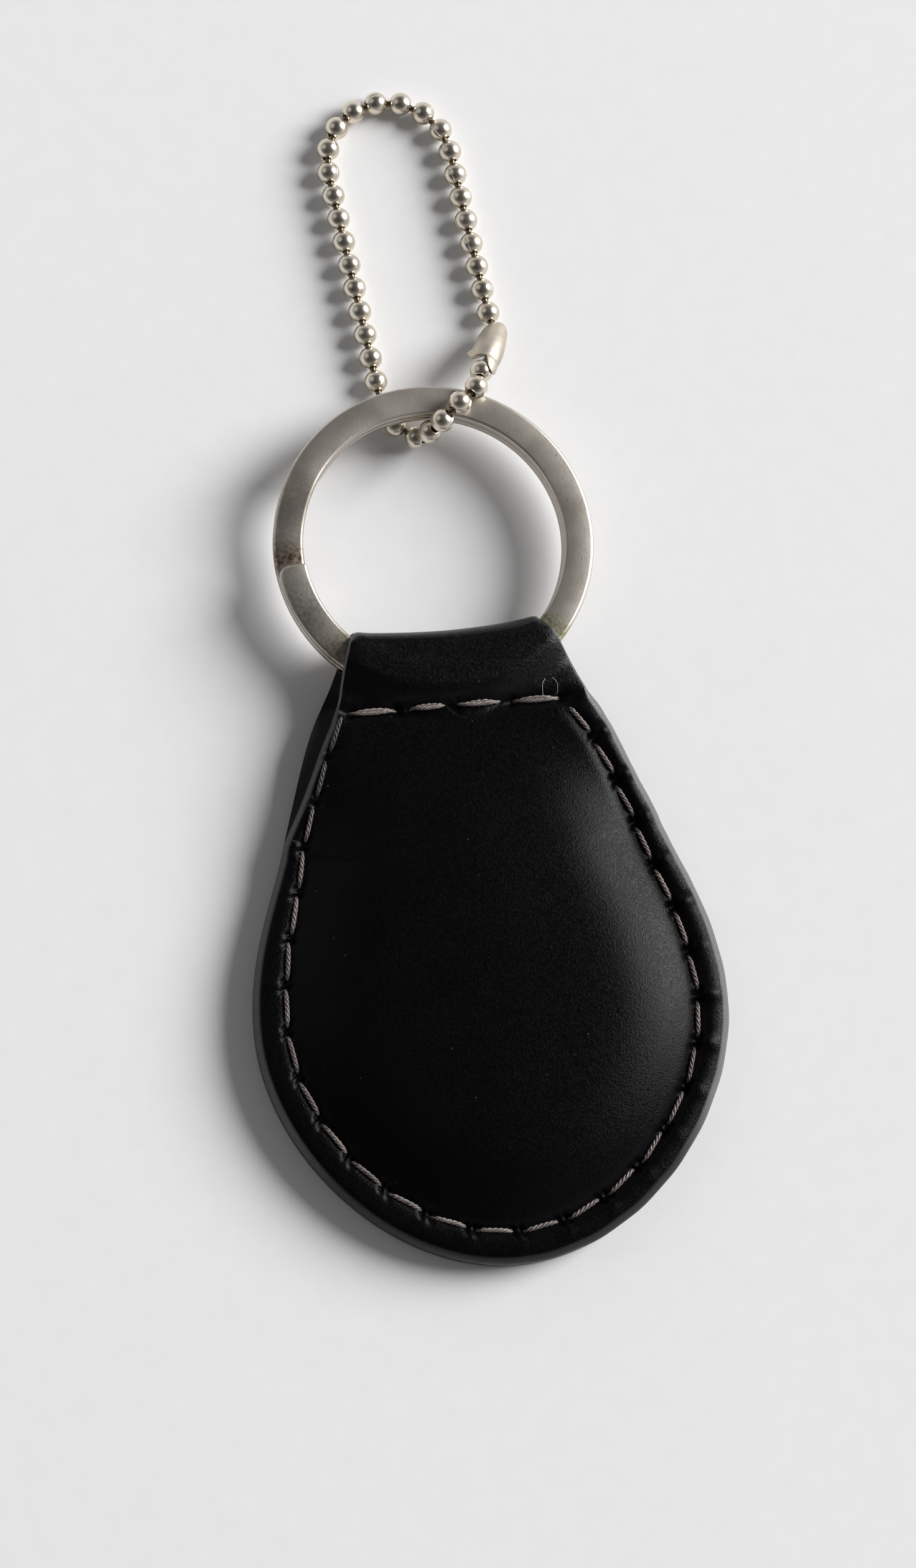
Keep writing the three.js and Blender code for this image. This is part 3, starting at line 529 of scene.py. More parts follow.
def loop_relief(plan):
    x, y = plan.T
    cross = CROSS_VALLEY * cross_pull(plan, CROSS_VALLEY_HALF)
    hole = HOLE_DEPTH * bell(nearest(plan, cross_holes)[0], CROSS_HOLE)
    from_ring = np.hypot(x - ring_middle[0], y - ring_middle[1])
    rise = LOOP_RISE * ease((RING_OUTER + LOOP_REACH - from_ring) / LOOP_RISE_RUN)
    emboss = EMBOSS_DEPTH * ease((RING_INNER + EMBOSS_REACH - from_ring) / EMBOSS_RUN)
    fold_gap, _ = nearest(plan, front_edge[fold_columns])
    fall = FOLD_FALL * np.clip(1 - fold_gap / FOLD_FALL_RUN, 0, 1) ** 2
    crease = CREASE_RISE * bell(fold_gap - CREASE_GAP, CREASE_HALF) * ease((x - CREASE_START) / CREASE_RUN)
    on_loop = ease((y - cross_seam_y(x) - LOOP_START) / LOOP_FADE)
    return rise + crease - cross - hole - (emboss + fall) * on_loop


def top_height(plan):
    inset, column = nearest(plan, front_edge)
    seam_gap = inset - seam_inset[column]
    return body_height(plan[:, 1], seam_gap) + seam_relief(plan, inset, seam_gap) + loop_relief(plan)


print("the loop rises", LOOP_RISE, "mm over the ring")

# %% [markdown]
# The underside is flat, because the fob lies on it. Only the threads pull a groove into it, deeper at
# their holes. It follows the same seam, so both sides of a stitch meet in one hole.

# %% Underside
BACK_GROOVE = 0.6
BACK_GROOVE_HALF = 0.6
BACK_HOLE = 0.35
BACK_HOLE_SIZE = 0.6
BACK_CROSS = 0.3
BACK_CROSS_HALF = 0.6
LOOP_DROP = 0.1
LOOP_DROP_RUN = 3.0
SEAM_SKIP = 6  # every sixth point of the seam line is close enough here


def under_height(plan):
    y = plan[:, 1]
    groove = BACK_GROOVE * bell(nearest(plan, seam[::SEAM_SKIP])[0], BACK_GROOVE_HALF)
    hole = BACK_HOLE * bell(nearest(plan, seam_holes)[0], BACK_HOLE_SIZE)
    cross = cross_pull(plan, BACK_CROSS_HALF) + bell(nearest(plan, cross_holes)[0], CROSS_HOLE)
    drop = LOOP_DROP * ease((y - NECK_Y) / LOOP_DROP_RUN)
    return lift(y) - drop + groove + hole + BACK_CROSS * cross


print("groove under the seam", BACK_GROOVE, "mm deep")

# %% [markdown]
# ## The leather cover
# The cover is one closed skin: columns round the edge, and rows that run from a middle line out over the
# top, round the edge and back underneath. A cloth simulation would round the pillow but lose the holes and
# the roll of the rim, so the rows are placed by the formulas. The loop's tunnel is cut through afterwards,
# and the pocket for the pad is a second skin inside, facing the pad.

# %% Rows from the edge inwards
LEG = 1.25  # the rows start this far inside the edge, then turn to the middle line
SPINE = (-8.0, 33.5)  # lower and upper end of the middle line
NEAR_SPINE = 0.9  # of the way: no fine row comes closer to the middle line
INNER_SHARES = (0.12, 0.26, 0.42, 0.6, 0.8, 1.0)  # of the way that the fine rows leave


def row_paths(edge, steps):
    """Plan places of rows: at the end of the leg, at each step past it, then at shares of the rest."""
    half = len(edge) // 2
    share = np.concatenate([np.arange(half), np.arange(half, 0, -1)]) / half
    spine = np.column_stack([np.zeros(len(edge)), SPINE[0] + (SPINE[1] - SPINE[0]) * share])
    knee = edge + inward(edge) * LEG
    way = spine - knee
    far = np.linalg.norm(way, axis=1)[:, None]
    rows = [knee] + [knee + way / far * np.minimum(step, far * NEAR_SPINE) for step in steps]
    last = rows[-1]
    return rows + [last + (spine - last) * part for part in INNER_SHARES]


print("rows run to a middle line of", SPINE[1] - SPINE[0], "mm")

# %% [markdown]
# Round the body the edge is cut, painted and rounded, with a groove between its two layers. On the strap it
# is a bare thin cut, and at the fold the grain side simply turns over. So every size of the edge has a
# value for each of these three, and blends from one to the next along the columns.

# %% Edge of body, strap and fold
STRAP_START = 29.6
STRAP_RUN = 1.8
FOLD_TURNS = 0.45  # the edge starts to be fold where it looks up this much
EDGE_WAVE = 0.025  # the stitches pull the right side of the edge into waves
BACK_WAVE = 0.5  # of that, on the back layer
on_strap = ease((front_edge[:, 1] - STRAP_START) / STRAP_RUN)
on_fold = ease((-smooth_normal[:, 1] - FOLD_TURNS) / FOLD_TURNS) * (front_edge[:, 1] > FOLD_Y)
seam_beside = nearest(front_edge, seam)[1] * seam_run[-1] / len(seam)
wave = np.cos(2 * math.pi * seam_beside / stitch_pitch) * (1 - on_strap)
wave = (EDGE_WAVE * wave * (front_edge[:, 0] > 0))[:, None]
front_line = front_edge + smooth_normal * wave
back_line = back_edge + inward(back_edge) * wave * BACK_WAVE


def blended(body, strap, fold):
    """A size for each column, from the body's value to the strap's and on to the fold's."""
    value = body + (strap - body) * on_strap
    return value + (fold - value) * on_fold


print("columns on the strap:", int((on_strap > 0.5).sum()), "on the fold:", int((on_fold > 0.5).sum()))

# %% Rows of the cover
FINE_STEP = 0.24
BACK_STEP = 0.5
FINE_RUN = 6.2
EDGE_TURNS = np.radians([90, 76, 62, 48, 34, 20])  # the grain side ends in a crease at the last one
EDGE_WIDTH = (0.62, 0.85)  # of the painted edge, seen from above, on the left and on the right
EDGE_FALL = (1.25, 0.6)
BACK_EDGE = 0.85
STRAP_EDGE = 0.24
FOLD_EDGE = 1.2
FOLD_UPPER = 0.52  # of the fold's height turns over above, and below
FOLD_LOWER = 0.4
GROOVE = 0.28  # between the layers
GROOVE_CLOSED = 0.1
LIP = 0.22
LIP_SHARE = 0.2  # of the wall, at most
LIP_INNER = 0.35  # of the lip, at the bottom of the groove
GRAIN_ROWS = 3  # the last rows round the back layer's edge keep their grain


def placed(plan, z):
    return np.column_stack([plan, z])


def leather_cover():
    top_rows = row_paths(front_line, np.arange(FINE_STEP, FINE_RUN, FINE_STEP))
    back_rows = row_paths(back_line, np.arange(BACK_STEP, FINE_RUN, BACK_STEP))
    under_edge = under_height(back_rows[0])
    fold_height = on_fold * (top_height(top_rows[0]) - under_edge)
    front_in, back_in = inward(front_line), inward(back_line)
    width = blended(leaning(EDGE_WIDTH, front_line[:, 0]), STRAP_EDGE, FOLD_EDGE)[:, None]
    back_width = blended(BACK_EDGE, STRAP_EDGE, FOLD_EDGE)[:, None]
    fall = blended(leaning(EDGE_FALL, front_line[:, 0]), STRAP_EDGE, 0) + fold_height * FOLD_UPPER
    back_fall = blended(BACK_EDGE, STRAP_EDGE, 0) + fold_height * FOLD_LOWER

    rows = [placed(plan, top_height(plan)) for plan in reversed(top_rows)]
    crease = EDGE_TURNS[-1]
    for turn in reversed(EDGE_TURNS):
        plan = front_line + front_in * width * (1 - math.sin(turn)) / (1 - math.sin(crease))
        rows.append(placed(plan, top_height(plan) - fall * (1 - math.cos(turn) / math.cos(crease))))
    painted_from = len(rows) - len(EDGE_TURNS) + 1

    wall_top, wall_low = rows[-1][:, 2], under_edge + back_fall
    half_way = (wall_top + wall_low) / 2
    groove_z = blended(lift(front_edge[:, 1]) + RIM_TOP / 2, half_way, half_way)
    groove = blended(GROOVE, 0.0, 0.0)[:, None]
    lip = np.minimum(LIP, (wall_top - wall_low) * LIP_SHARE)
    deep = front_line + front_in * groove
    rows += [placed(front_line, groove_z + lip), placed(deep, groove_z + lip * LIP_INNER),
             placed(np.where(groove > GROOVE_CLOSED, deep, (front_line + back_line) / 2),
                    groove_z - lip * LIP_INNER),
             placed(back_line, groove_z - lip)]
    for turn in EDGE_TURNS:
        plan = back_line + back_in * back_width * (1 - math.sin(turn))
        rows.append(placed(plan, under_edge + back_fall * (1 - math.cos(turn))))
    painted_to = len(rows) - GRAIN_ROWS
    rows += [placed(plan, under_height(plan)) for plan in back_rows]
    return rows, painted_from, painted_to


cover_rows, painted_from, painted_to = leather_cover()
print(len(cover_rows), "rows, painted edge from row", painted_from, "to", painted_to)

# %% Leather cover mesh
def skin(rows):
    """One closed skin from rows of columns. Both sides share the first and last row, the middle lines."""
    count = len(rows[0])
    half = count // 2
    points, index = [], []
    total = 0
    for k, row in enumerate(rows):
        if k in (0, len(rows) - 1):
            points.append(row[:half + 1])
            index.append([total + min(c, count - c) for c in range(count)])
        else:
            points.append(row)
            index.append([total + c for c in range(count)])
        total += len(points[-1])
    faces = []
    for upper, lower in zip(index[:-1], index[1:]):
        for c in range(count):
            d = (c + 1) % count
            face = [upper[c], lower[c], lower[d], upper[d]]
            faces.append([v for k, v in enumerate(face) if v != face[k - 1]])
    return np.vstack(points), faces


cover_points, cover_faces = skin(cover_rows)
cover = mesh_piece("leather_cover", cover_points, cover_faces, leather)
print("leather cover:", len(cover_points), "points,", len(cover_faces), "faces")

# %% [markdown]
# ## Tunnel for the ring
# The ring's wire runs through the loop, so the loop is hollow from side to side. The skin could be built
# with a hole in it, but a cutter with the tunnel's rounded section, swept across and taken away with a
# Boolean, leaves clean mouths wherever the loop's sides happen to run.

# %% Helpers for closed meshes
CORNER_STEPS = 4


def loft(rings):
    """A closed skin through rings of points, with a face over each end."""
    count = len(rings[0])
    faces = []
    for k in range(len(rings) - 1):
        for c in range(count):
            d = (c + 1) % count
            faces.append([k * count + c, k * count + d, (k + 1) * count + d, (k + 1) * count + c])
    last = (len(rings) - 1) * count
    faces.append(list(range(count))[::-1])
    faces.append([last + c for c in range(count)])
    return np.vstack(rings), faces


def outward(piece):
    """Turns the faces of a closed mesh outwards."""
    work = bmesh.new()
    work.from_mesh(piece.data)
    bmesh.ops.recalc_face_normals(work, faces=work.faces)
    work.to_mesh(piece.data)
    work.free()
    return piece


def rounded_box(low, high, radius):
    """Points of a rounded rectangle between two corners, once round."""
    (left, bottom), (right, top) = np.add(low, radius), np.subtract(high, radius)
    points = []
    for quarter, middle in enumerate([(right, top), (left, top), (left, bottom), (right, bottom)]):
        for k in range(CORNER_STEPS + 1):
            turn = (quarter + k / CORNER_STEPS) * math.pi / 2
            points.append((middle[0] + radius * math.cos(turn), middle[1] + radius * math.sin(turn)))
    return np.array(points)


def plain_mesh(piece):
    """Replaces the piece's mesh by what its modifiers make of it."""
    graph = bpy.context.evaluated_depsgraph_get()
    made = bpy.data.meshes.new_from_object(piece.evaluated_get(graph))
    piece.modifiers.clear()
    piece.data = made
    return piece


print("mesh helpers ready")

# %% Cut the tunnel
TUNNEL_CLEARANCE = 0.25
TUNNEL_ROUND = 0.4
TUNNEL_SECTIONS = 161
FOLD_WALL = 0.7


def tunnel_cutter():
    fold = front_edge[fold_columns]
    fold = fold[np.argsort(fold[:, 0])]
    low_z = ring_low.z / MM - TUNNEL_CLEARANCE
    high_z = ring_high.z / MM + TUNNEL_CLEARANCE
    outer, inner = RING_OUTER + TUNNEL_CLEARANCE, RING_INNER - TUNNEL_CLEARANCE
    rings = []
    for x in np.linspace(-HALF_WIDTH, HALF_WIDTH, TUNNEL_SECTIONS):
        aside = x - ring_middle[0]
        if abs(aside) > inner:
            continue
        low_y = ring_middle[1] - math.sqrt(outer ** 2 - aside ** 2)
        wire_y = ring_middle[1] - math.sqrt(inner ** 2 - aside ** 2)
        high_y = max(np.interp(x, fold[:, 0], fold[:, 1]) - FOLD_WALL, wire_y)
        section = rounded_box((low_y, low_z), (high_y, high_z), TUNNEL_ROUND)
        rings.append(np.column_stack([np.full(len(section), x), section]))
    return outward(mesh_piece("tunnel_cutter", *loft(rings), leather))


cutter = tunnel_cutter()
cut = cover.modifiers.new("tunnel", "BOOLEAN")
cut.operation = "DIFFERENCE"
cut.solver = "EXACT"
cut.object = cutter
plain_mesh(cover)
bpy.data.objects.remove(cutter)
print("cover after the cut:", len(cover.data.vertices), "points")

# %% [markdown]
# ## Felt pad and its pocket
# A pad of pressed felt fills the body and makes its dome. It can't be seen in the finished fob, but the
# dome has to come from something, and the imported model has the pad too. It is a loft of shrinking outlines
# under the leather's own heights. Its pocket needs no cut: the same loft, a little larger and turned
# inside out, joins the cover.

# %% Felt material
FELT_MM = 0.5


def felt_material():
    # Pressed felt is fibres lying every way: a matt surface with a fine, cloudy mottle
    material, tree, place = new_material("grey_pressed_wool_felt")
    fibres = add(tree, "ShaderNodeTexNoise", {"Vector": place, "Scale": 1 / (FELT_MM * MM), "Detail": 8.0})
    colour = add(tree, "ShaderNodeMix", {"Factor": fibres, "A": linear("#55524e"), "B": linear("#8b8782")},
                 data_type="RGBA")
    bump = add(tree, "ShaderNodeBump", {"Height": fibres, "Strength": 0.6, "Distance": 0.2 * MM})
    shader = add(tree, "ShaderNodeBsdfPrincipled", {"Base Color": colour, "Roughness": 0.95,
                                                    "Sheen Weight": 0.3, "Normal": bump})
    add(tree, "ShaderNodeOutputMaterial", {"Surface": shader})
    return material


felt = felt_material()
print("made", felt.name)

# %% Felt pad and pocket
PAD_SHAPE = [(0, -1), (0.53, -0.88), (0.88, -0.5), (1, -0.02), (0.93, 0.4), (0.76, 0.74), (0.5, 0.94),
             (0, 1), (-0.5, 0.94), (-0.76, 0.74), (-0.93, 0.4), (-1, -0.02), (-0.88, -0.5), (-0.53, -0.88)]
PAD_ROWS = [(0.0, 1.0), (0.35, 0.995), (0.62, 0.97), (0.82, 0.9), (0.94, 0.78), (1.0, 0.55), (1.0, 0.28),
            (1.0, 0.03)]  # share of the height, and scale of the outline
PAD_FINENESS = 8
PAD_EDGE_Z = 2.0
PAD_LEAST = 0.3
HIDE = 1.6  # thickness of the leather
POCKET_PLAY = 0.12


def pad_skin(grow):
    low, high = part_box("padding_core")
    middle = np.array([0.0, (low.y + high.y) / 2 / MM])
    half = np.array([high.x, (high.y - low.y) / 2]) / MM + grow
    outline = closed_line(PAD_SHAPE, PAD_FINENESS) * half
    wall = HIDE + POCKET_PLAY - grow
    upper, lower = [], []
    for rise, scale in PAD_ROWS:
        plan = middle + outline * scale
        raised = lift(plan[:, 1])
        edge = PAD_EDGE_Z + raised
        top = np.maximum(top_height(plan) - wall, edge + PAD_LEAST)
        upper.append(placed(plan, edge + (top - edge) * rise))
        lower.append(placed(plan, edge + (raised + wall - edge) * rise))
    return loft(upper[::-1] + lower[1:])


pad = outward(mesh_piece("felt_pad", *pad_skin(0.0), felt))
pocket = outward(mesh_piece("pad_pocket", *pad_skin(POCKET_PLAY), leather))
work = bmesh.new()
work.from_mesh(pocket.data)
bmesh.ops.reverse_faces(work, faces=work.faces)
work.from_mesh(cover.data)
work.to_mesh(cover.data)
work.free()
bpy.data.objects.remove(pocket)
print("felt pad:", len(pad.data.vertices), "points; the cover's pocket is inside")

# %% [markdown]
# ## Marks on the leather
# The edge paint is grey with painted light in it: lighter on the right, where the lamp falls, and darker at
# the tip, in shade. The loop's cut edge shows the raw hide. Handling has polished the loop. These marks
# could be painted by hand on a texture. Here they are attributes, set last because the Boolean rebuilds the
# mesh: each point asks its nearest point of the first skin which row it came from, so the marks follow the
# edge exactly.

# %% Rows and columns of the first skin
row_of_point, column_of_point = [], []
for k in range(len(cover_rows)):
    columns = COLUMNS + 1 if k in (0, len(cover_rows) - 1) else 2 * COLUMNS
    row_of_point += [k] * columns
    column_of_point += range(columns)
first_skin = KDTree(len(cover_points))
for k, point in enumerate(cover_points):
    first_skin.insert(point, k)
first_skin.balance()
print("points to ask:", len(row_of_point))

# %% Mark painted edge, raw cuts and polish
EDGE_PAINT_AND_LIGHT = (0.55, 1.0)  # grey of the edge paint on the left and on the right; lighter on the right is painted light
TIP_PAINT_SHADED = 0.2  # and at the tip, darker as painted shade
TIP_START = -9.0
TIP_RUN = 8.0
BEVEL_ROWS = 4  # rows of the front layer's bevel
WALL_PAINT = 0.45  # the wall below the bevel is rubbed less
RAW_ROWS = 3  # rows of the front layer's edge on which the raw hide shows
RAW_SHOWS = 0.7
RAW_RIGHT = 0.35  # of that, on the right
RAW_TUNNEL = 0.25
RAW_FADE = 0.3
CUT_GAP = 0.02  # a point this far from the first skin was made by the cut
LOOP_START_Y = 30.5
LOOP_START_RUN = 1.5
LOOP_POLISH = 0.45
POLISH_MIDDLE = 0.7  # of that in the middle, and so much more for each millimetre to the right
POLISH_LEAN = 0.03
EDGE_POLISH = 0.4
SHARP_ANGLE = math.radians(55)
before_fold = 1 - ease((-smooth_normal[:, 1] - FOLD_TURNS) / RAW_FADE) * (front_edge[:, 1] > FOLD_Y)
marks = {"painted_edge": [], "raw_cut": [], "polish": []}
for vertex in cover.data.vertices:
    place = vertex.co / MM
    _, k, gap = first_skin.find(place)
    row = row_of_point[k]
    on_wall = float(painted_from <= row <= painted_to)
    on_loop = float(ease((place.y - LOOP_START_Y) / LOOP_START_RUN))
    at_tip = float(ease((TIP_START - place.y) / TIP_RUN))
    # The edge paint's grey is painted light: lighter to the right, where the lamp falls, darker at the tip, in
    # shade
    lit_paint = leaning(EDGE_PAINT_AND_LIGHT, place.x) * (1.0 if row <= painted_from + BEVEL_ROWS else WALL_PAINT)
    lit_paint = on_wall * (1 - on_loop) * (lit_paint + (TIP_PAINT_SHADED - lit_paint) * at_tip)
    raw = RAW_SHOWS * on_wall * (row <= painted_from + RAW_ROWS) * on_loop
    raw *= (1.0 if place.x < 0 else RAW_RIGHT) * before_fold[column_of_point[k]]
    in_tunnel = gap > CUT_GAP and place.y > NECK_Y
    polish = on_loop * LOOP_POLISH * (POLISH_MIDDLE + POLISH_LEAN * place.x)
    marks["painted_edge"].append(lit_paint)
    marks["raw_cut"].append(RAW_TUNNEL if in_tunnel else raw)
    marks["polish"].append(max(lit_paint * EDGE_POLISH, polish))
for name, values in marks.items():
    set_attribute(cover, name, values)
    print(name, "on", sum(value > 0.1 for value in values), "points")
cover.data.polygons.foreach_set("use_smooth", [True] * len(cover.data.polygons))
cover.data.set_sharp_from_angle(angle=SHARP_ANGLE)

# %% [markdown]
# ## Twisted thread
# The thread is a bonded cord of three plies, taupe, a little shiny where it is pulled tight and fuzzy
# between. Wear has soiled it in patches. One colour would look like wire, so a fine noise mixes a dark and
# a pale taupe, and a slow noise darkens whole stretches.

# %% Thread material
FIBRE_MM = 0.12
SOIL_MM = 4.0
WORN_X = (-11.0, -12.0)  # millimetres: the wear starts at the first and is full at the second
WORN_Y = (17.0, 24.0)


def thread_material():
    # Twisted polyester: fine light and dark fibres, a dull gleam on top and a faint sheen at the sides
    material, tree, place = new_material("taupe_bonded_polyester_thread")
    fibres = add(tree, "ShaderNodeTexNoise", {"Vector": place, "Scale": 1 / (FIBRE_MM * MM), "Detail": 3.0})
    soil = add(tree, "ShaderNodeTexNoise", {"Vector": place, "Scale": 1 / (SOIL_MM * MM)})
    fuzz = add(tree, "ShaderNodeMapRange", {"Value": fibres, "From Min": 0.36, "From Max": 0.64})
    soiled = add(tree, "ShaderNodeMapRange", {"Value": soil, "From Min": 0.42, "From Max": 0.62,
                                              "To Max": 0.4})
    # The stitches at the upper left are worn: they are nearly as dark as the leather
    split = add(tree, "ShaderNodeSeparateXYZ", {"Vector": place})
    leftward = add(tree, "ShaderNodeMapRange", {"Value": split.outputs["X"], "From Min": WORN_X[0] * MM,
                                                "From Max": WORN_X[1] * MM})
    upward = add(tree, "ShaderNodeMapRange", {"Value": split.outputs["Y"], "From Min": WORN_Y[0] * MM,
                                              "From Max": WORN_Y[1] * MM, "To Max": 0.85})
    rubbed = add(tree, "ShaderNodeMath", {0: leftward, 1: upward}, operation="MULTIPLY")
    colour = add(tree, "ShaderNodeMix", {"Factor": fuzz, "A": linear("#453b38"), "B": linear("#9c8f8a")},
                 data_type="RGBA")
    for amount, hex_colour in ((soiled, "#332c28"), (rubbed, "#1f1c1b")):
        colour = add(tree, "ShaderNodeMix", {"Factor": amount, "A": colour, "B": linear(hex_colour)},
                     data_type="RGBA")
    bump = add(tree, "ShaderNodeBump", {"Height": fibres, "Strength": 0.4, "Distance": 0.03 * MM})
    shader = add(tree, "ShaderNodeBsdfPrincipled", {"Base Color": colour, "Roughness": 0.4,
                                                    "Sheen Weight": 0.15, "Normal": bump})
    add(tree, "ShaderNodeOutputMaterial", {"Surface": shader})
    return material


thread = thread_material()
print("made", thread.name)

# %% [markdown]
# ## A stitch, and a row of them
# Real stitches repeat along a path, so Geometry Nodes make them: one stitch of three twisted plies, whose
# ends taper and dip into their holes, stands on a point for each stitch. The points carry the way along the
# seam, the way up and the length as attributes. Modelling each stitch by hand would give the same picture,
# but here a change of the thread's size reaches all of them.

# %% Helpers for Geometry Nodes
def geometry_tree(name, sockets):
    """An empty tree with a geometry input and output and the given named inputs."""
    tree = bpy.data.node_groups.new(name, "GeometryNodeTree")
    tree.interface.new_socket("Geometry", in_out="INPUT", socket_type="NodeSocketGeometry")
    for socket_name, kind in sockets:
        tree.interface.new_socket(socket_name, in_out="INPUT", socket_type="NodeSocket" + kind)
    tree.interface.new_socket("Geometry", in_out="OUTPUT", socket_type="NodeSocketGeometry")
    return tree, add(tree, "NodeGroupInput").outputs


def run_tree(piece, tree, values):
    """Sets a tree's inputs by their identifiers, lets it work on the piece, and keeps the plain mesh."""
    modifier = piece.modifiers.new(tree.name, "NODES")
    modifier.node_group = tree
    for socket in tree.interface.items_tree:
        if socket.in_out == "INPUT" and socket.name in values:
            modifier[socket.identifier] = values[socket.name]
    return plain_mesh(piece)


def point_piece(name, places, vectors, numbers):
    """A mesh of loose points in millimetres, with vector and number attributes for a tree to read."""
    mesh = bpy.data.meshes.new(name)
    mesh.from_pydata((np.asarray(places) * MM).tolist(), [], [])
    for kind, key, layers in (("FLOAT_VECTOR", "vector", vectors), ("FLOAT", "value", numbers)):
        for layer_name, values in layers.items():
            layer = mesh.attributes.new(layer_name, kind, "POINT")
            layer.data.foreach_set(key, np.ravel(values).astype(np.float32))
    piece = bpy.data.objects.new(name, mesh)
    bpy.context.scene.collection.objects.link(piece)
    return piece


print("tree helpers ready")

# %% Geometry Nodes tree for a row of stitches
PLIES = 3
PLY_STEPS = 14  # for each turn of the twist
PLY_SIDES = 7


def stitch_tree():
    sizes = ("Stitch Length", "Ply Radius", "Twist Radius", "Twists", "End Dip", "End Taper", "Bow")
    tree, given = geometry_tree("twisted_stitches", [(size, "Float") for size in sizes]
                                + [("Thread", "Material")])
    spiral = add(tree, "GeometryNodeCurveSpiral", {"Resolution": PLY_STEPS, "Rotations": given["Twists"],
                                                   "Start Radius": given["Twist Radius"],
                                                   "End Radius": given["Twist Radius"],
                                                   "Height": given["Stitch Length"]})
    plies = [add(tree, "GeometryNodeTransform", {"Geometry": spiral,
                                                 "Rotation": (0, 0, 2 * math.pi * k / PLIES)})
             for k in range(PLIES)]
    cord = add(tree, "GeometryNodeJoinGeometry", {"Geometry": plies})
    section = add(tree, "GeometryNodeCurvePrimitiveCircle", {"Resolution": PLY_SIDES,
                                                             "Radius": given["Ply Radius"]})
    solid = add(tree, "GeometryNodeCurveToMesh", {"Curve": cord, "Profile Curve": section,
                                                  "Fill Caps": True})

    # The way from the stitch's middle, to the fourth power, draws the ends together and into their holes
    place = add(tree, "ShaderNodeSeparateXYZ", {"Vector": add(tree, "GeometryNodeInputPosition")})
    share = add(tree, "ShaderNodeMath", {0: place.outputs["Z"], 1: given["Stitch Length"]},
                operation="DIVIDE")
    centred = add(tree, "ShaderNodeMath", {0: share, 1: 2.0, 2: -1.0}, operation="MULTIPLY_ADD")
    square = add(tree, "ShaderNodeMath", {0: centred, 1: centred}, operation="MULTIPLY")
    fourth = add(tree, "ShaderNodeMath", {0: square, 1: square}, operation="MULTIPLY")
    shrink = add(tree, "ShaderNodeMath", {0: fourth, 1: given["End Taper"]}, operation="MULTIPLY")
    less_x = add(tree, "ShaderNodeMath", {0: place.outputs["X"], 1: shrink}, operation="MULTIPLY")
    less_y = add(tree, "ShaderNodeMath", {0: place.outputs["Y"], 1: shrink}, operation="MULTIPLY")
    down = add(tree, "ShaderNodeMath", {0: fourth, 1: given["End Dip"], 2: less_x},
               operation="MULTIPLY_ADD")
    lower = add(tree, "ShaderNodeMath", {0: down, 1: -1.0}, operation="MULTIPLY")
    middle = add(tree, "ShaderNodeMath", {0: 1.0, 1: square}, operation="SUBTRACT")
    bowed = add(tree, "ShaderNodeMath", {0: middle, 1: given["Bow"]}, operation="MULTIPLY")
    sideways = add(tree, "ShaderNodeMath", {0: bowed, 1: less_y}, operation="SUBTRACT")
    half = add(tree, "ShaderNodeMath", {0: given["Stitch Length"], 1: -0.5}, operation="MULTIPLY")
    offset = add(tree, "ShaderNodeCombineXYZ", {"X": lower, "Y": sideways, "Z": half})
    stitch = add(tree, "GeometryNodeSetPosition", {"Geometry": solid, "Offset": offset})

    # One stitch on each point: its length along the seam, its top away from the leather
    along_way, up_way = (add(tree, "GeometryNodeInputNamedAttribute", {"Name": name},
                             data_type="FLOAT_VECTOR") for name in ("along", "up"))
    longer = add(tree, "GeometryNodeInputNamedAttribute", {"Name": "stretch"}, data_type="FLOAT")
    along = add(tree, "FunctionNodeAlignRotationToVector", {"Vector": along_way}, axis="Z")
    upright = add(tree, "FunctionNodeAlignRotationToVector", {"Rotation": along, "Vector": up_way},
                  axis="X", pivot_axis="Z")
    stretch = add(tree, "ShaderNodeCombineXYZ", {"X": 1.0, "Y": 1.0, "Z": longer})
    row = add(tree, "GeometryNodeInstanceOnPoints", {"Points": given["Geometry"], "Instance": stitch,
                                                     "Rotation": upright, "Scale": stretch})
    real = add(tree, "GeometryNodeRealizeInstances", {"Geometry": row})
    smooth = add(tree, "GeometryNodeSetShadeSmooth", {"Geometry": real})
    dressed = add(tree, "GeometryNodeSetMaterial", {"Geometry": smooth, "Material": given["Thread"]})
    add(tree, "NodeGroupOutput", {"Geometry": dressed})
    return tree


twisted_stitches = stitch_tree()
print("tree", twisted_stitches.name, "with", len(twisted_stitches.nodes), "nodes")

# %% [markdown]
# Each perimeter stitch runs from one hole to the next and lies a little slanted, as a lockstitch does
# when the needle's thread always leaves on the same side. The cross seam under the ring is sewn twice,
# so two threads lie side by side in it and bow apart.

# %% Feet of the stitches
STITCH_SLANT = 0.1
SLANT_SPREAD = 0.05
FOOT_SHARE = 0.3  # of a stitch: its height is taken this far from its hole
THREAD_RISE = 0.22
TIP_SINK = 0.12  # the stitches near the tip are pulled deeper
SINK_START = -8.0
SINK_RUN = 10.0
CROSS_SPREAD = 0.1
CROSS_SLIP = 0.25
STITCH_SEED = 11
loose = np.random.default_rng(STITCH_SEED)


def stitch_feet(height, side):
    """Both ends of every perimeter stitch on the top (side 1) or the underside (side -1)."""
    sideways = seam_way(stitch_ends.mean(1))[:, ::-1] * [1, -1]
    slant = STITCH_SLANT + loose.normal(0, SLANT_SPREAD, len(stitch_ends))
    feet = []
    for end, sign in ((0, 1), (1, -1)):
        plan = on_seam(stitch_ends[:, end]) + sideways * (sign * slant)[:, None]
        inner = on_seam(stitch_ends[:, end] + sign * stitch_pitch * STITCH_SHARE * FOOT_SHARE)
        rise = THREAD_RISE - TIP_SINK * ease((SINK_START - inner[:, 1]) / SINK_RUN)
        feet.append(placed(plan, height(inner) + side * rise))
    return feet


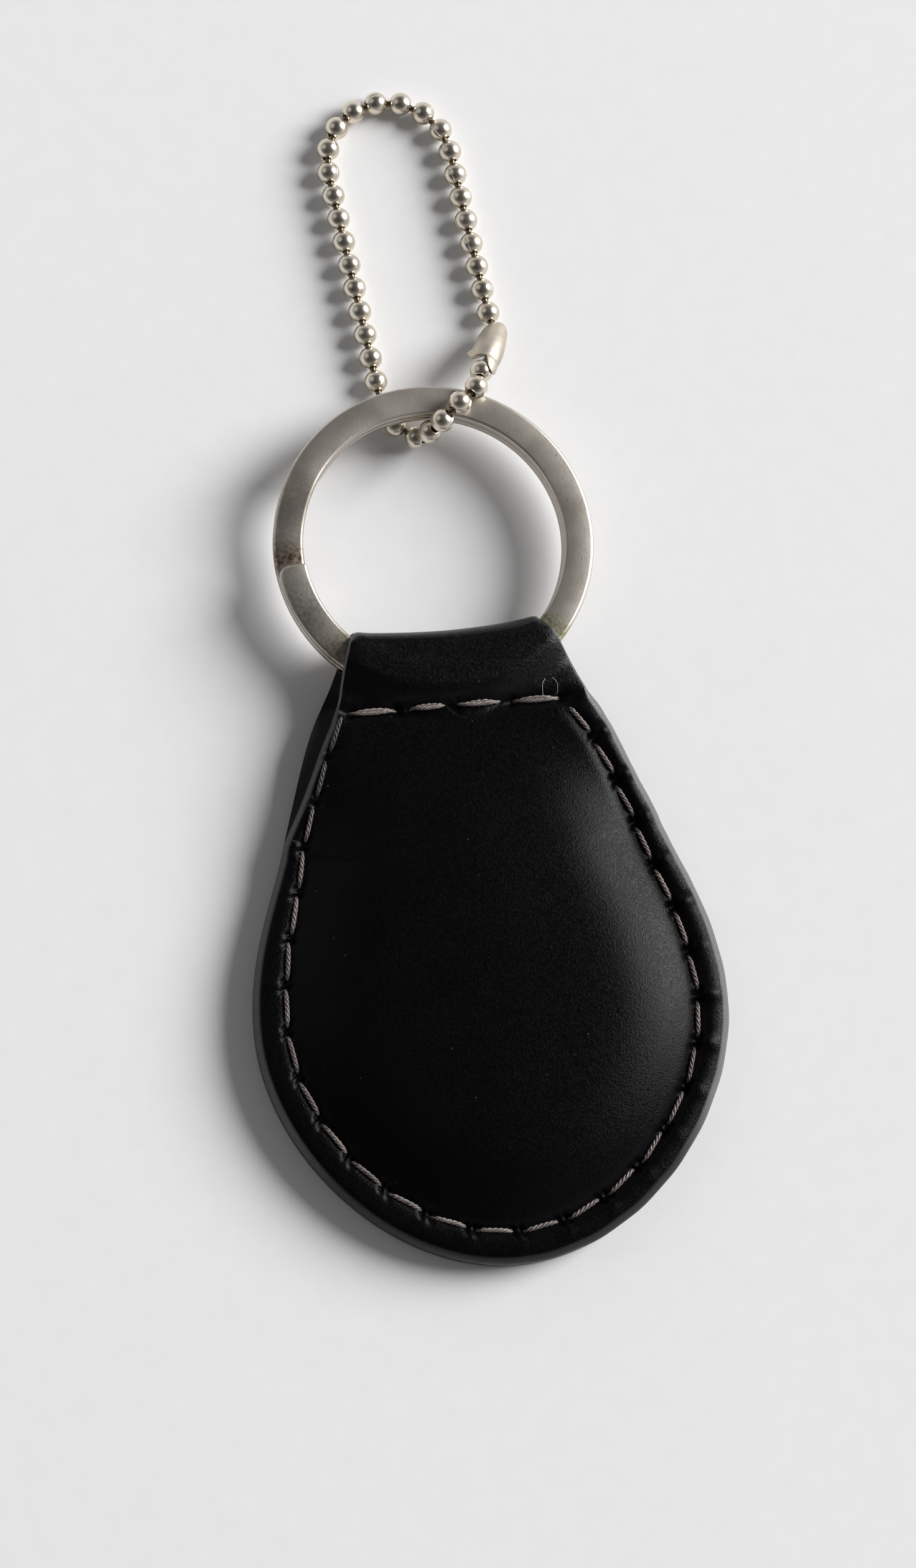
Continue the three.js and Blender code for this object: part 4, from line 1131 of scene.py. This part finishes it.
def cross_feet(height, side):
    """Both ends of the doubled stitches of the cross seam."""
    starts, ends = [], []
    for left, right in CROSS_STITCHES:
        for sign in (-1, 1):
            slip = loose.uniform(-CROSS_SLIP, CROSS_SLIP, 2)
            feet = np.array([(left + slip[0], cross_seam_y(left)), (right + slip[1], cross_seam_y(right))])
            feet[:, 1] += sign * CROSS_SPREAD
            inner = feet[0] + (feet[1] - feet[0]) * np.array([[FOOT_SHARE], [1 - FOOT_SHARE]])
            pair = placed(feet, height(inner) + side * THREAD_RISE)
            # Turned end for end, a stitch bows to the other side
            start, end = pair if sign * side > 0 else pair[::-1]
            starts.append(start)
            ends.append(end)
    return np.array(starts), np.array(ends)


print("stitches stand", THREAD_RISE, "mm above the leather")

# %% Front and back stitches
THREAD_SIZES = {"Stitch Length": 3.6 * MM, "Ply Radius": 0.115 * MM, "Twist Radius": 0.13 * MM,
                "Twists": 2.3, "End Dip": 0.65 * MM, "End Taper": 0.45, "Bow": 0.03 * MM, "Thread": thread}
CROSS_SIZES = {**THREAD_SIZES, "Ply Radius": 0.105 * MM, "Twist Radius": 0.115 * MM, "End Taper": 0.6,
               "Bow": 0.24 * MM}
UP = np.array([0.0, 0.0, 1.0])


def stitch_row(name, starts, ends, up, sizes):
    way = ends - starts
    length = np.linalg.norm(way, axis=1)
    piece = point_piece(name, (starts + ends) / 2,
                        {"along": way / length[:, None], "up": np.tile(up, (len(way), 1))},
                        {"stretch": length * MM / sizes["Stitch Length"]})
    return run_tree(piece, twisted_stitches, sizes)


seam_front = stitch_row("seam_thread_front_stitches", *stitch_feet(top_height, 1), UP, THREAD_SIZES)
seam_back = stitch_row("seam_thread_back_stitches", *stitch_feet(under_height, -1), -UP, THREAD_SIZES)
cross_front = stitch_row("cross_thread_front_stitches", *cross_feet(top_height, 1), UP, CROSS_SIZES)
cross_back = stitch_row("cross_thread_back_stitches", *cross_feet(under_height, -1), -UP, CROSS_SIZES)
for piece in (seam_front, seam_back, cross_front, cross_back):
    print(piece.name, len(piece.data.polygons), "faces")

# %% [markdown]
# ## Loose fibres
# Two fibres of the worn thread stand out of the cross seam in thin bows over the loop. Hair curves would
# have to become a mesh for the export, so each is a small tube along a Bezier line, joined to its thread.

# %% Loose fibres
FIBRE_RADIUS = 0.013
FIBRE_POINTS = 12
FIBRE_SIDES = 5
TILT = 0.01  # off the vertical, so that no way along a fibre is quite upright
# Bends of each fibre: x, y and height above the leather
FIBRES = [[(8.5, 30.5, 0.1), (8.25, 31.2, 0.45), (8.4, 31.9, 0.5), (8.75, 32.15, 0.2)],
          [(9.5, 32.3, 0.15), (9.95, 31.9, 0.4), (10.05, 31.2, 0.45), (9.8, 30.6, 0.1)]]


def unit(vector):
    return vector / np.linalg.norm(vector)


def fibre_skin(bends):
    line = bezier(*bends, FIBRE_POINTS)
    line[:, 2] += top_height(line[:, :2])
    turns = np.linspace(0, 2 * math.pi, FIBRE_SIDES, endpoint=False)
    rings = []
    for here, way in zip(line, np.gradient(line, axis=0)):
        side = unit(np.cross(way, UP + TILT))
        over = unit(np.cross(side, way))
        rings.append(here + FIBRE_RADIUS * (np.outer(np.cos(turns), side) + np.outer(np.sin(turns), over)))
    return loft(rings)


work = bmesh.new()
work.from_mesh(cross_front.data)
for bends in FIBRES:
    fibre = outward(mesh_piece("loose_fibre", *fibre_skin(bends), thread))
    work.from_mesh(fibre.data)
    bpy.data.objects.remove(fibre)
work.to_mesh(cross_front.data)
work.free()
print(len(FIBRES), "fibres on", cross_front.name)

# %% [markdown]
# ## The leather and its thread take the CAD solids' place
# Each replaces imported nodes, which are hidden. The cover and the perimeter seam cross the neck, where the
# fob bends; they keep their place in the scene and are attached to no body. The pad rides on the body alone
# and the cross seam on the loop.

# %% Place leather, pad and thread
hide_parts("front_panel", "back_panel", "hanger_strap")
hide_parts("padding_core")
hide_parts("seam_thread_front")
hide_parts("seam_thread_back")
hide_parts("cross_thread_front")
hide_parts("cross_thread_back")
for piece in (cover, seam_front, seam_back):
    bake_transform(piece)
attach(pad, "fob")
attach(cross_front, "loop")
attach(cross_back, "loop")
print("leather, pad and thread placed")

# %% [markdown]
# ## Worn nickel
# The ring is steel wire with a nickel plate, satin from years of use. It looks warm grey on its flat
# face and bright where its edges are rubbed. Brown tarnish gathers by the wire's free end, a bluish
# film covers the end piece, and green verdigris has grown where the leather touches it. These stains are
# attributes of the ring's points, broken up by noise, so they stay where they are when the ring turns.

# %% Ring material
SCUFF_MM = 0.35
CLOUD_MM = 3.0
PIT_MM = 0.9


def ring_material():
    # Worn satin plate: a broad soft gleam, clouded in places, with dark pits and coloured stains
    material, tree, place = new_material("nickel_plated_steel_worn_satin")
    scuffs = add(tree, "ShaderNodeTexNoise", {"Vector": place, "Scale": 1 / (SCUFF_MM * MM), "Detail": 6.0})
    cloud = add(tree, "ShaderNodeTexNoise", {"Vector": place, "Scale": 1 / (CLOUD_MM * MM), "Detail": 5.0})
    pits = add(tree, "ShaderNodeTexVoronoi", {"Vector": place, "Scale": 1 / (PIT_MM * MM)})
    colour = add(tree, "ShaderNodeMix", {"Factor": cloud, "A": linear("#c4bcb1"), "B": linear("#d6cfc4")},
                 data_type="RGBA")
    patchy = add(tree, "ShaderNodeMapRange", {"Value": scuffs, "From Min": 0.35, "From Max": 0.65,
                                              "To Min": 0.4})
    for name, hex_colour in (("blue_film", "#434a50"), ("brown_tarnish", "#5d4227"),
                             ("verdigris", "#6f7434")):
        stain = add(tree, "ShaderNodeAttribute", attribute_name=name).outputs["Fac"]
        amount = add(tree, "ShaderNodeMath", {0: stain, 1: patchy}, operation="MULTIPLY")
        colour = add(tree, "ShaderNodeMix", {"Factor": amount, "A": colour, "B": linear(hex_colour)},
                     data_type="RGBA")
    deep = add(tree, "ShaderNodeMapRange", {"Value": pits.outputs["Distance"], "From Min": 0.14,
                                            "From Max": 0.04, "To Max": 0.8})
    chosen = add(tree, "ShaderNodeMapRange", {"Value": pits.outputs["Color"], "From Min": 0.66,
                                              "From Max": 0.8})
    pit = add(tree, "ShaderNodeMath", {0: deep, 1: chosen}, operation="MULTIPLY")
    colour = add(tree, "ShaderNodeMix", {"Factor": pit, "A": colour, "B": linear("#4a4036")},
                 data_type="RGBA")
    gloss = add(tree, "ShaderNodeMapRange", {"Value": cloud, "From Min": 0.3, "From Max": 0.7,
                                             "To Min": 0.36, "To Max": 0.41})
    relief = add(tree, "ShaderNodeMath", {0: scuffs, 1: pit}, operation="SUBTRACT")
    bump = add(tree, "ShaderNodeBump", {"Height": relief, "Strength": 0.25, "Distance": 0.03 * MM})
    shader = add(tree, "ShaderNodeBsdfPrincipled", {"Base Color": colour, "Metallic": 1.0,
                                                    "Roughness": gloss, "Normal": bump})
    add(tree, "ShaderNodeOutputMaterial", {"Surface": shader})
    return material


ring_nickel = ring_material()
print("made", ring_nickel.name)

# %% [markdown]
# ## Split ring
# One flat wire is wound nearly twice. From its free end it makes the upper turn, drops by a short ramp
# and makes the lower one. A curve with a bevel could sweep it, but both free ends are rounded in plan, as
# the factory tumbles them, so the wire's rounded section is placed by formula at each step of the turn.

# %% Split ring mesh
WIRE_THICKNESS = 1.2
TURN_GAP = 0.1
WIRE_ROUND = 0.36
RING_END_ANGLE = 185
RING_STEP_ANGLE = 40
END_ROUND_OUTER = 1.15
END_ROUND_INNER = 0.4
END_PLACES = np.array([0, 0.04, 0.12, 0.25, 0.42, 0.65, 0.95, 1.3])  # of the sections near a free end
END_THIN = 0.25  # the share by which a free end is thinner, and how far from the end
END_THIN_RUN = 0.25
RING_STEP = 2.0  # degrees
EVEN_START = 6.0  # degrees from a free end, where the even steps begin
FULL_TURN = 360
DEGREE = math.pi / 180


def ring_sections():
    middle = RING_OUTER - WIRE_WIDTH / 2
    total = 2 * FULL_TURN - RING_STEP_ANGLE
    fine = END_PLACES / middle / DEGREE
    even = np.arange(EVEN_START, total - EVEN_START, RING_STEP)
    turned = np.concatenate([fine, even, total - fine[::-1]])
    corner = np.array([WIRE_WIDTH, WIRE_THICKNESS]) / 2
    section = rounded_box(-corner, corner, WIRE_ROUND)
    low = ring_low.z / MM + WIRE_THICKNESS / 2
    rings, angles, sides = [], [], []
    for turn in turned:
        from_end = min(turn, total - turn) * DEGREE * middle
        cut_in, cut_out = (radius - math.sqrt(radius ** 2 - max(radius - from_end, 0) ** 2)
                           for radius in (END_ROUND_INNER, END_ROUND_OUTER))
        inner, outer = cut_in - WIRE_WIDTH / 2, WIRE_WIDTH / 2 - cut_out
        reach = inner + (section[:, 0] + WIRE_WIDTH / 2) / WIRE_WIDTH * (outer - inner)
        thin = 1 - END_THIN * max(1 - from_end / END_THIN_RUN, 0) ** 2
        dropped = ease((turn - FULL_TURN + RING_STEP_ANGLE) / RING_STEP_ANGLE)
        z = low + (WIRE_THICKNESS + TURN_GAP) * (1 - dropped) + section[:, 1] * thin
        angle = (RING_END_ANGLE + turn) * DEGREE
        rings.append(placed(ring_middle + np.outer(middle + reach, [math.cos(angle), math.sin(angle)]), z))
        angles.append(np.full(len(section), RING_END_ANGLE + turn))
        sides.append(section[:, 0] / WIRE_WIDTH * 2)
    return rings, np.concatenate(angles), np.concatenate(sides)


ring_rings, ring_turned, ring_side = ring_sections()
split_ring = outward(mesh_piece("split_ring_wire", *loft(ring_rings), ring_nickel))
print("split ring:", len(split_ring.data.vertices), "points")

# %% Stains on the ring
END_PIECE = 60  # degrees of the upper turn that carry the bluish film
BROWN = [(158, 16, 0.3), (224, 6, 0.6)]  # angle on the ring, size in degrees, and strength
BROWN_AT_END = (181, 7, 0.95)  # not on the end piece itself
GREEN = [(318, 3.5, 0.95), (222, 4, 0.4)]
BLUE = (203, 15, 0.85)
BLUE_SIDE = (0.1, 1.1)  # across the wire
around = ring_turned % FULL_TURN
on_end_piece = (ring_turned < RING_END_ANGLE + END_PIECE).astype(float)


def stain(angle, size, strength):
    return strength * bell(around - angle, size)


set_attribute(split_ring, "brown_tarnish", stain(*BROWN_AT_END) * (1 - on_end_piece)
              + sum(stain(*spot) for spot in BROWN))
set_attribute(split_ring, "blue_film", stain(*BLUE) * on_end_piece
              * bell(ring_side - BLUE_SIDE[0], BLUE_SIDE[1]))
set_attribute(split_ring, "verdigris", sum(stain(*spot) for spot in GREEN))
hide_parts("split_ring")
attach(split_ring, "ring")
print("stains set, ring placed")

# %% [markdown]
# ## Bright nickel, with painted shade on the pins
# The beads are brass strip, rolled and nickel plated, so they shine, with a haze of wear. The pins sit in the
# narrow gaps between them, and their dull dark brown is painted shade of those gaps. The connector is a satin
# pressing. All three share one material function, made from two colours and two roughnesses.

# %% Bead, pin and connector materials
HAZE_MM = 1.2
FINE_SCUFF_MM = 0.2


def plated_material(name, dark, pale, low, high):
    # Nickel on brass: a warm mirror whose edges are softened by haze and tiny scuffs
    material, tree, place = new_material(name)
    haze = add(tree, "ShaderNodeTexNoise", {"Vector": place, "Scale": 1 / (HAZE_MM * MM), "Detail": 5.0})
    scuffs = add(tree, "ShaderNodeTexNoise", {"Vector": place, "Scale": 1 / (FINE_SCUFF_MM * MM),
                                              "Detail": 4.0})
    colour = add(tree, "ShaderNodeMix", {"Factor": haze, "A": linear(dark), "B": linear(pale)},
                 data_type="RGBA")
    gloss = add(tree, "ShaderNodeMapRange", {"Value": haze, "From Min": 0.3, "From Max": 0.7,
                                             "To Min": low, "To Max": high})
    bump = add(tree, "ShaderNodeBump", {"Height": scuffs, "Strength": 0.22, "Distance": 0.02 * MM})
    shader = add(tree, "ShaderNodeBsdfPrincipled", {"Base Color": colour, "Metallic": 1.0,
                                                    "Roughness": gloss, "Normal": bump})
    add(tree, "ShaderNodeOutputMaterial", {"Surface": shader})
    return material


bead_nickel = plated_material("nickel_plated_brass_bright", "#d9cebd", "#ece3d4", 0.2, 0.3)
# The pins' dull dark brown is painted shade of the narrow gaps between the beads
shaded_pin_nickel = plated_material("nickel_plated_brass_dull_painted_shade", "#5f5345", "#857864", 0.34, 0.44)
pod_nickel = plated_material("nickel_plated_brass_satin", "#bfb5a7", "#d3cabb", 0.4, 0.48)
print("made", ", ".join(nickel.name for nickel in (bead_nickel, shaded_pin_nickel, pod_nickel)))

# %% [markdown]
# ## Bead and pin
# Each bead is a hollow ball with a hole at each end and a thin meridian line where its strip closes. Short
# pins with heads inside the beads join them. Both are turned shapes, so a closed profile goes round an
# axis, and the bead's turns are closer together at its line. They have few faces, because they repeat.

# %% Helpers for turned shapes
def lathe(profile, turns, dents):
    """Turns a closed profile of (radius, height) round the Z axis, dented by so much at each turn."""
    radius, height = np.array(profile).T
    rings = [np.column_stack([(radius - dent) * math.cos(turn), (radius - dent) * math.sin(turn), height])
             for turn, dent in zip(turns, dents)]
    count, size = len(turns), len(profile)
    faces = []
    for k in range(count):
        here, onward = k * size, (k + 1) % count * size
        for c in range(size):
            d = (c + 1) % size
            faces.append([here + c, onward + c, onward + d, here + d])
    return np.vstack(rings), faces


def arc(radius, start, end, steps):
    return [(radius * math.sin(t), radius * math.cos(t)) for t in np.linspace(start, end, steps)]


print("lathe ready")

# %% Bead and pin shapes
BEAD_RADIUS = 1.175
BEAD_WALL = 0.2
BEAD_HOLE = 0.47
BEAD_PITCH = 2.5
BEAD_LIP = 0.05  # radians from the hole to where the ball starts
BEAD_LIP_DROP = 0.03
OUTER_STEPS = 15
INNER_STEPS = 9
SEAM_DEPTH = 0.06
SEAM_WIDTH = 0.07  # radians
SEAM_TURNS = [-9, -4.5, 0, 4.5, 9]  # degrees, closer together at the closing line
OTHER_TURNS = np.linspace(22, 338, 22)
PIN_RADIUS = 0.3
PIN_HEAD = 0.5
PIN_REACH = 0.55  # past a bead's middle, inside its hollow
PIN_SIDES = 12
PIN_END = [(0.02, 0.0), (PIN_HEAD, 0.1), (PIN_HEAD, 0.25), (PIN_RADIUS, 0.4)]  # radius, place from the end


def bead_shape():
    first = math.asin(BEAD_HOLE / BEAD_RADIUS)
    hollow = BEAD_RADIUS - BEAD_WALL
    rim = math.asin(BEAD_HOLE / hollow)
    lip_z = BEAD_RADIUS * math.cos(first) - BEAD_LIP_DROP
    profile = arc(BEAD_RADIUS, first + BEAD_LIP, math.pi - first - BEAD_LIP, OUTER_STEPS)
    profile += [(BEAD_HOLE, -lip_z)] + arc(hollow, math.pi - rim, rim, INNER_STEPS) + [(BEAD_HOLE, lip_z)]
    turns = np.radians(np.concatenate([SEAM_TURNS, OTHER_TURNS]))
    return lathe(profile, turns, SEAM_DEPTH * bell(2 * np.sin(turns / 2), SEAM_WIDTH))


def pin_shape():
    reach = BEAD_PITCH / 2 + PIN_REACH
    profile = [(radius, place - reach) for radius, place in PIN_END] + [(PIN_RADIUS, 0.0)]
    profile += [(radius, reach - place) for radius, place in reversed(PIN_END)]
    return lathe(profile, np.linspace(0, 2 * math.pi, PIN_SIDES, endpoint=False), np.zeros(PIN_SIDES))


bead_mesh = outward(mesh_piece("bead_shape", *bead_shape(), bead_nickel))
pin_mesh = outward(mesh_piece("pin_shape", *pin_shape(), bead_nickel))
print("bead of", len(bead_mesh.data.polygons), "faces, pin of", len(pin_mesh.data.polygons))

# %% [markdown]
# ## The chain
# The chain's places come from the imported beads. A CAD bead carries its pin, so its box is longer on the
# side of the next bead: the other sides give a first middle, and a ball through the corner points near
# the bead's own radius gives the exact one.

# %% Bead places
BEAD_NAMES = [f"chain_bead_{k:02d}" for k in range(1, 35)]
NEXT_BEAD = dict(zip(BEAD_NAMES, BEAD_NAMES[1:]))
NEXT_BEAD["chain_bead_21"] = "chain_bead_34"  # the two strands, 1 to 21 and 22 to 33, meet in bead 34
BALL_PLAY = 0.13  # corner points this close to the bead's radius lie on its ball


def bead_middle(name):
    low, high = (np.array(corner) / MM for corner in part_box(name))
    guess = (low + high) / 2
    if name in NEXT_BEAD:
        onward = sum(np.array(corner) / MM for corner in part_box(NEXT_BEAD[name])) / 2 - guess
        guess = np.where(onward > 0, low + BEAD_RADIUS, high - BEAD_RADIUS)
    corners = np.array([vertex.co for vertex in frame["nodes"][name].data.vertices]).round(6)
    corners = np.unique(corners, axis=0) / MM
    on_ball = corners[np.abs(np.linalg.norm(corners - guess, axis=1) - BEAD_RADIUS) < BALL_PLAY]
    equations = np.column_stack([2 * on_ball, np.ones(len(on_ball))])
    return np.linalg.lstsq(equations, (on_ball ** 2).sum(1), rcond=None)[0][:3]


bead_places = {name: bead_middle(name) for name in BEAD_NAMES}
gaps = [np.linalg.norm(bead_places[after] - bead_places[name]) for name, after in NEXT_BEAD.items()]
print("bead pitch from", round(min(gaps), 3), "to", round(max(gaps), 3), "mm")

# %% [markdown]
# Geometry Nodes set a bead or a pin on each point, turned along the chain. An attribute says which of the
# two it is, and each bead has a spin of its own, because its closing line can lie anywhere. One tree with
# object inputs serves every run of chain, and each body gets its own plain mesh of it.

# %% Geometry Nodes tree for a run of chain
def chain_tree():
    tree, given = geometry_tree("ball_chain", [("Bead", "Object"), ("Pin", "Object"),
                                              ("Nickel", "Material"), ("Shaded Pin Nickel", "Material")])
    is_pin, spun = (add(tree, "GeometryNodeInputNamedAttribute", {"Name": name}, data_type="FLOAT")
                    for name in ("is_pin", "spin"))
    way = add(tree, "GeometryNodeInputNamedAttribute", {"Name": "along"}, data_type="FLOAT_VECTOR")
    is_bead = add(tree, "ShaderNodeMath", {0: 1.0, 1: is_pin}, operation="SUBTRACT")
    along = add(tree, "FunctionNodeAlignRotationToVector", {"Vector": way}, axis="Z")
    spin = add(tree, "FunctionNodeAxisAngleToRotation", {"Axis": (0, 0, 1), "Angle": spun})
    turned = add(tree, "FunctionNodeRotateRotation", {"Rotation": along, "Rotate By": spin},
                 rotation_space="LOCAL")
    runs = []
    for shape, chosen in (("Bead", is_bead), ("Pin", is_pin)):
        source = add(tree, "GeometryNodeObjectInfo", {"Object": given[shape]}, transform_space="ORIGINAL")
        runs.append(add(tree, "GeometryNodeInstanceOnPoints", {"Points": given["Geometry"],
                                                               "Selection": chosen,
                                                               "Instance": source.outputs["Geometry"],
                                                               "Rotation": turned}))
    joined = add(tree, "GeometryNodeJoinGeometry", {"Geometry": runs})
    real = add(tree, "GeometryNodeRealizeInstances", {"Geometry": joined})
    dressed = add(tree, "GeometryNodeSetMaterial", {"Geometry": real, "Material": given["Nickel"]})
    dressed = add(tree, "GeometryNodeSetMaterial", {"Geometry": dressed, "Selection": is_pin,
                                                    "Material": given["Shaded Pin Nickel"]})
    add(tree, "NodeGroupOutput", {"Geometry": dressed})
    return tree


ball_chain = chain_tree()
print("tree", ball_chain.name, "with", len(ball_chain.nodes), "nodes")

# %% Chain pieces, one for each body
before = {after: name for name, after in NEXT_BEAD.items() if name != "chain_bead_33"}
SPIN_SEED = 5
rolls = np.random.default_rng(SPIN_SEED)
for body, nodes in frame["record"]["behaviour"]["bodies"].items():
    beads = [name for name in nodes if name in bead_places]
    if not beads:
        continue
    places, ways, spins, pins = [], [], [], []
    for name in beads:
        here = bead_places[name]
        onward = bead_places[NEXT_BEAD.get(name, "chain_bead_33")]
        back = bead_places[before.get(name, name)]
        places.append(here)
        ways.append(unit(onward - back))
        spins.append(rolls.uniform(0, 2 * math.pi))
        pins.append(0.0)
        if name in NEXT_BEAD:
            places.append((here + onward) / 2)
            ways.append(unit(onward - here))
            spins.append(0.0)
            pins.append(1.0)
    piece = point_piece("ball_" + body, places, {"along": ways}, {"spin": spins, "is_pin": pins})
    run_tree(piece, ball_chain, {"Bead": bead_mesh, "Pin": pin_mesh, "Nickel": bead_nickel,
                                 "Shaded Pin Nickel": shaded_pin_nickel})
    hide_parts(*beads)
    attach(piece, body)
    print(piece.name, len(beads), "beads,", len(piece.data.polygons), "faces")
for shape in (bead_mesh, pin_mesh):
    bpy.data.objects.remove(shape)

# %% [markdown]
# ## Chain connector
# A strip of brass is pressed into a pod that clips over the two end beads. It is open along one side, where
# a small lip lets a fingernail in, and narrows to a tongue below a notch. A Solidify modifier could give a
# bent sheet its thickness. Here rows run along the pod and columns round it, outside and back inside, so
# that the lip and the notch are only numbers of a row.

# %% Connector mesh
POD_WALL = 0.14
POD_ROWS = [(-3.5, 1.3, 0.06), (-3.2, 1.36, 0.2), (-2.6, 1.4, 0.27), (-2.0, 1.42, 0.34), (-1.8, 1.34, 0.93),
            (-1.4, 1.42, 0.98), (-0.6, 1.55, 1.0), (0.4, 1.58, 0.97), (1.4, 1.52, 0.88), (2.2, 1.43, 0.76),
            (3.0, 1.36, 0.6), (3.5, 1.26, 0.42), (3.85, 1.12, 0.2)]  # place along it, radius, share wrapped
POD_NOTCH = [-2.0, -1.8]  # these rows keep the notch sharp
POD_STEPS = 40
POD_COLUMNS = 49
POD_OPEN = 0.55  # radians, half of the open side
POD_TURN = math.radians(42)  # the closed side faces up and to the right
LIP_RISE = 0.5
LIP_PLACE = -0.9
LIP_WIDE = 0.1
LIP_LONG = 0.55


def connector_skin():
    lower, upper = bead_places["chain_bead_01"], bead_places["chain_bead_22"]
    along = unit(upper - lower)
    level = unit(np.cross(along, UP))
    away = level * math.cos(POD_TURN) + np.cross(level, along) * math.sin(POD_TURN)
    rise = np.cross(away, along)
    middle = (lower + upper) / 2
    place, radius, share = np.array(POD_ROWS).T
    turns = np.linspace(-1, 1, POD_COLUMNS)
    rings = []
    for t in np.sort(np.concatenate([np.linspace(place[0], place[-1], POD_STEPS), POD_NOTCH])):
        angle = turns * (math.pi - POD_OPEN) * np.interp(t, place, share)
        lip = LIP_RISE * bell(turns - 1.0, LIP_WIDE) * bell(t - LIP_PLACE, LIP_LONG)
        outer = np.interp(t, place, radius) + lip
        outside, inside = (middle + along * t + np.outer(reach * np.cos(angle), away)
                           + np.outer(reach * np.sin(angle), rise) for reach in (outer, outer - POD_WALL))
        rings.append(np.vstack([outside, inside[::-1]]))
    return loft(rings)


connector = outward(mesh_piece("connector_pod", *connector_skin(), pod_nickel))
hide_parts("chain_connector")
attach(connector, "connector")
print("connector:", len(connector.data.vertices), "points")

# %% [markdown]
# ## Floor, light and world
# A pale sheet lies under the fob. One large soft lamp stands far to the right, so shadows fall left and the
# floor is lit evenly, and a weak one fills from the left. The world is dim overhead and bright in a low
# band all round, as a table under a dark ceiling is: the beads and the ring find something bright to
# reflect from every side, and black leather stays black.

# %% Floor
FLOOR_SIZE = 3000.0
FLOOR_Z = -0.02  # just under the leather, so that the two faces never coincide
PULP_MM = 2.5


def floor_material():
    # Matt paper: almost white, with a faint cloudiness
    material, tree, place = new_material("white_uncoated_paper")
    pulp = add(tree, "ShaderNodeTexNoise", {"Vector": place, "Scale": 1 / (PULP_MM * MM), "Detail": 5.0})
    colour = add(tree, "ShaderNodeMix", {"Factor": pulp, "A": linear("#eeeeef"), "B": linear("#f4f4f4")},
                 data_type="RGBA")
    matt = add(tree, "ShaderNodeBsdfDiffuse", {"Color": colour})
    add(tree, "ShaderNodeOutputMaterial", {"Surface": matt})
    return material


half = FLOOR_SIZE / 2
corners = [(-half, -half, FLOOR_Z), (half, -half, FLOOR_Z), (half, half, FLOOR_Z), (-half, half, FLOOR_Z)]
floor = mesh_piece("paper_floor", corners, [[0, 1, 2, 3]], floor_material())
print("floor of", FLOOR_SIZE, "mm")

# %% Lamps
KEY = {"place": (3.5, 0.91, 2.135), "aim": (0.0, 0.02, 0.0), "size": 2.66, "power": 263.0}  # metres, watts
FILL = {"place": (-0.45, 0.25, 0.45), "aim": (0.0, 0.03, 0.0), "size": 0.5, "power": 0.25}


def lamp(name, place, aim, size, power):
    data = bpy.data.lights.new(name, "AREA")
    data.shape = "DISK"
    data.size = size
    data.energy = power
    light = bpy.data.objects.new(name, data)
    turn = (Vector(place) - Vector(aim)).to_track_quat("Z", "Y")
    light.matrix_world = Matrix.Translation(place) @ turn.to_matrix().to_4x4()
    bpy.context.scene.collection.objects.link(light)
    return light


lamp("soft_key", **KEY)
lamp("soft_fill", **FILL)
print("lamps of", KEY["power"], "and", FILL["power"], "watts")

# %% World
WINDOW_WAY = (0.85, 0.5, 0.0)  # the side from which the room is brighter
world = bpy.data.worlds.new("studio")
bpy.context.scene.world = world
world.use_nodes = True
sky = world.node_tree
sky.nodes.clear()
direction = add(sky, "ShaderNodeTexCoord").outputs["Generated"]
upward = add(sky, "ShaderNodeSeparateXYZ", {"Vector": direction}).outputs["Z"]
shade = add(sky, "ShaderNodeMapRange", {"Value": upward, "From Min": 0.1, "From Max": 0.8, "To Min": 0.9,
                                        "To Max": 0.13}, interpolation_type="SMOOTHSTEP")
window = add(sky, "ShaderNodeVectorMath", {0: direction, 1: WINDOW_WAY}, operation="DOT_PRODUCT")
side = add(sky, "ShaderNodeMapRange", {"Value": window.outputs["Value"], "From Min": -1.0, "To Min": 0.2})
high = add(sky, "ShaderNodeMath", {0: shade, 1: side}, operation="MULTIPLY")
low = add(sky, "ShaderNodeMapRange", {"Value": upward, "From Min": 0.14, "From Max": 0.24, "To Min": 0.85,
                                      "To Max": 0.0})
level = add(sky, "ShaderNodeMath", {0: high, 1: low}, operation="MAXIMUM")
backdrop = add(sky, "ShaderNodeBackground", {"Color": linear("#f4f4f6"), "Strength": level})
add(sky, "ShaderNodeOutputWorld", {"Surface": backdrop})
bpy.context.scene.view_settings.view_transform = "Standard"
print("stage set")
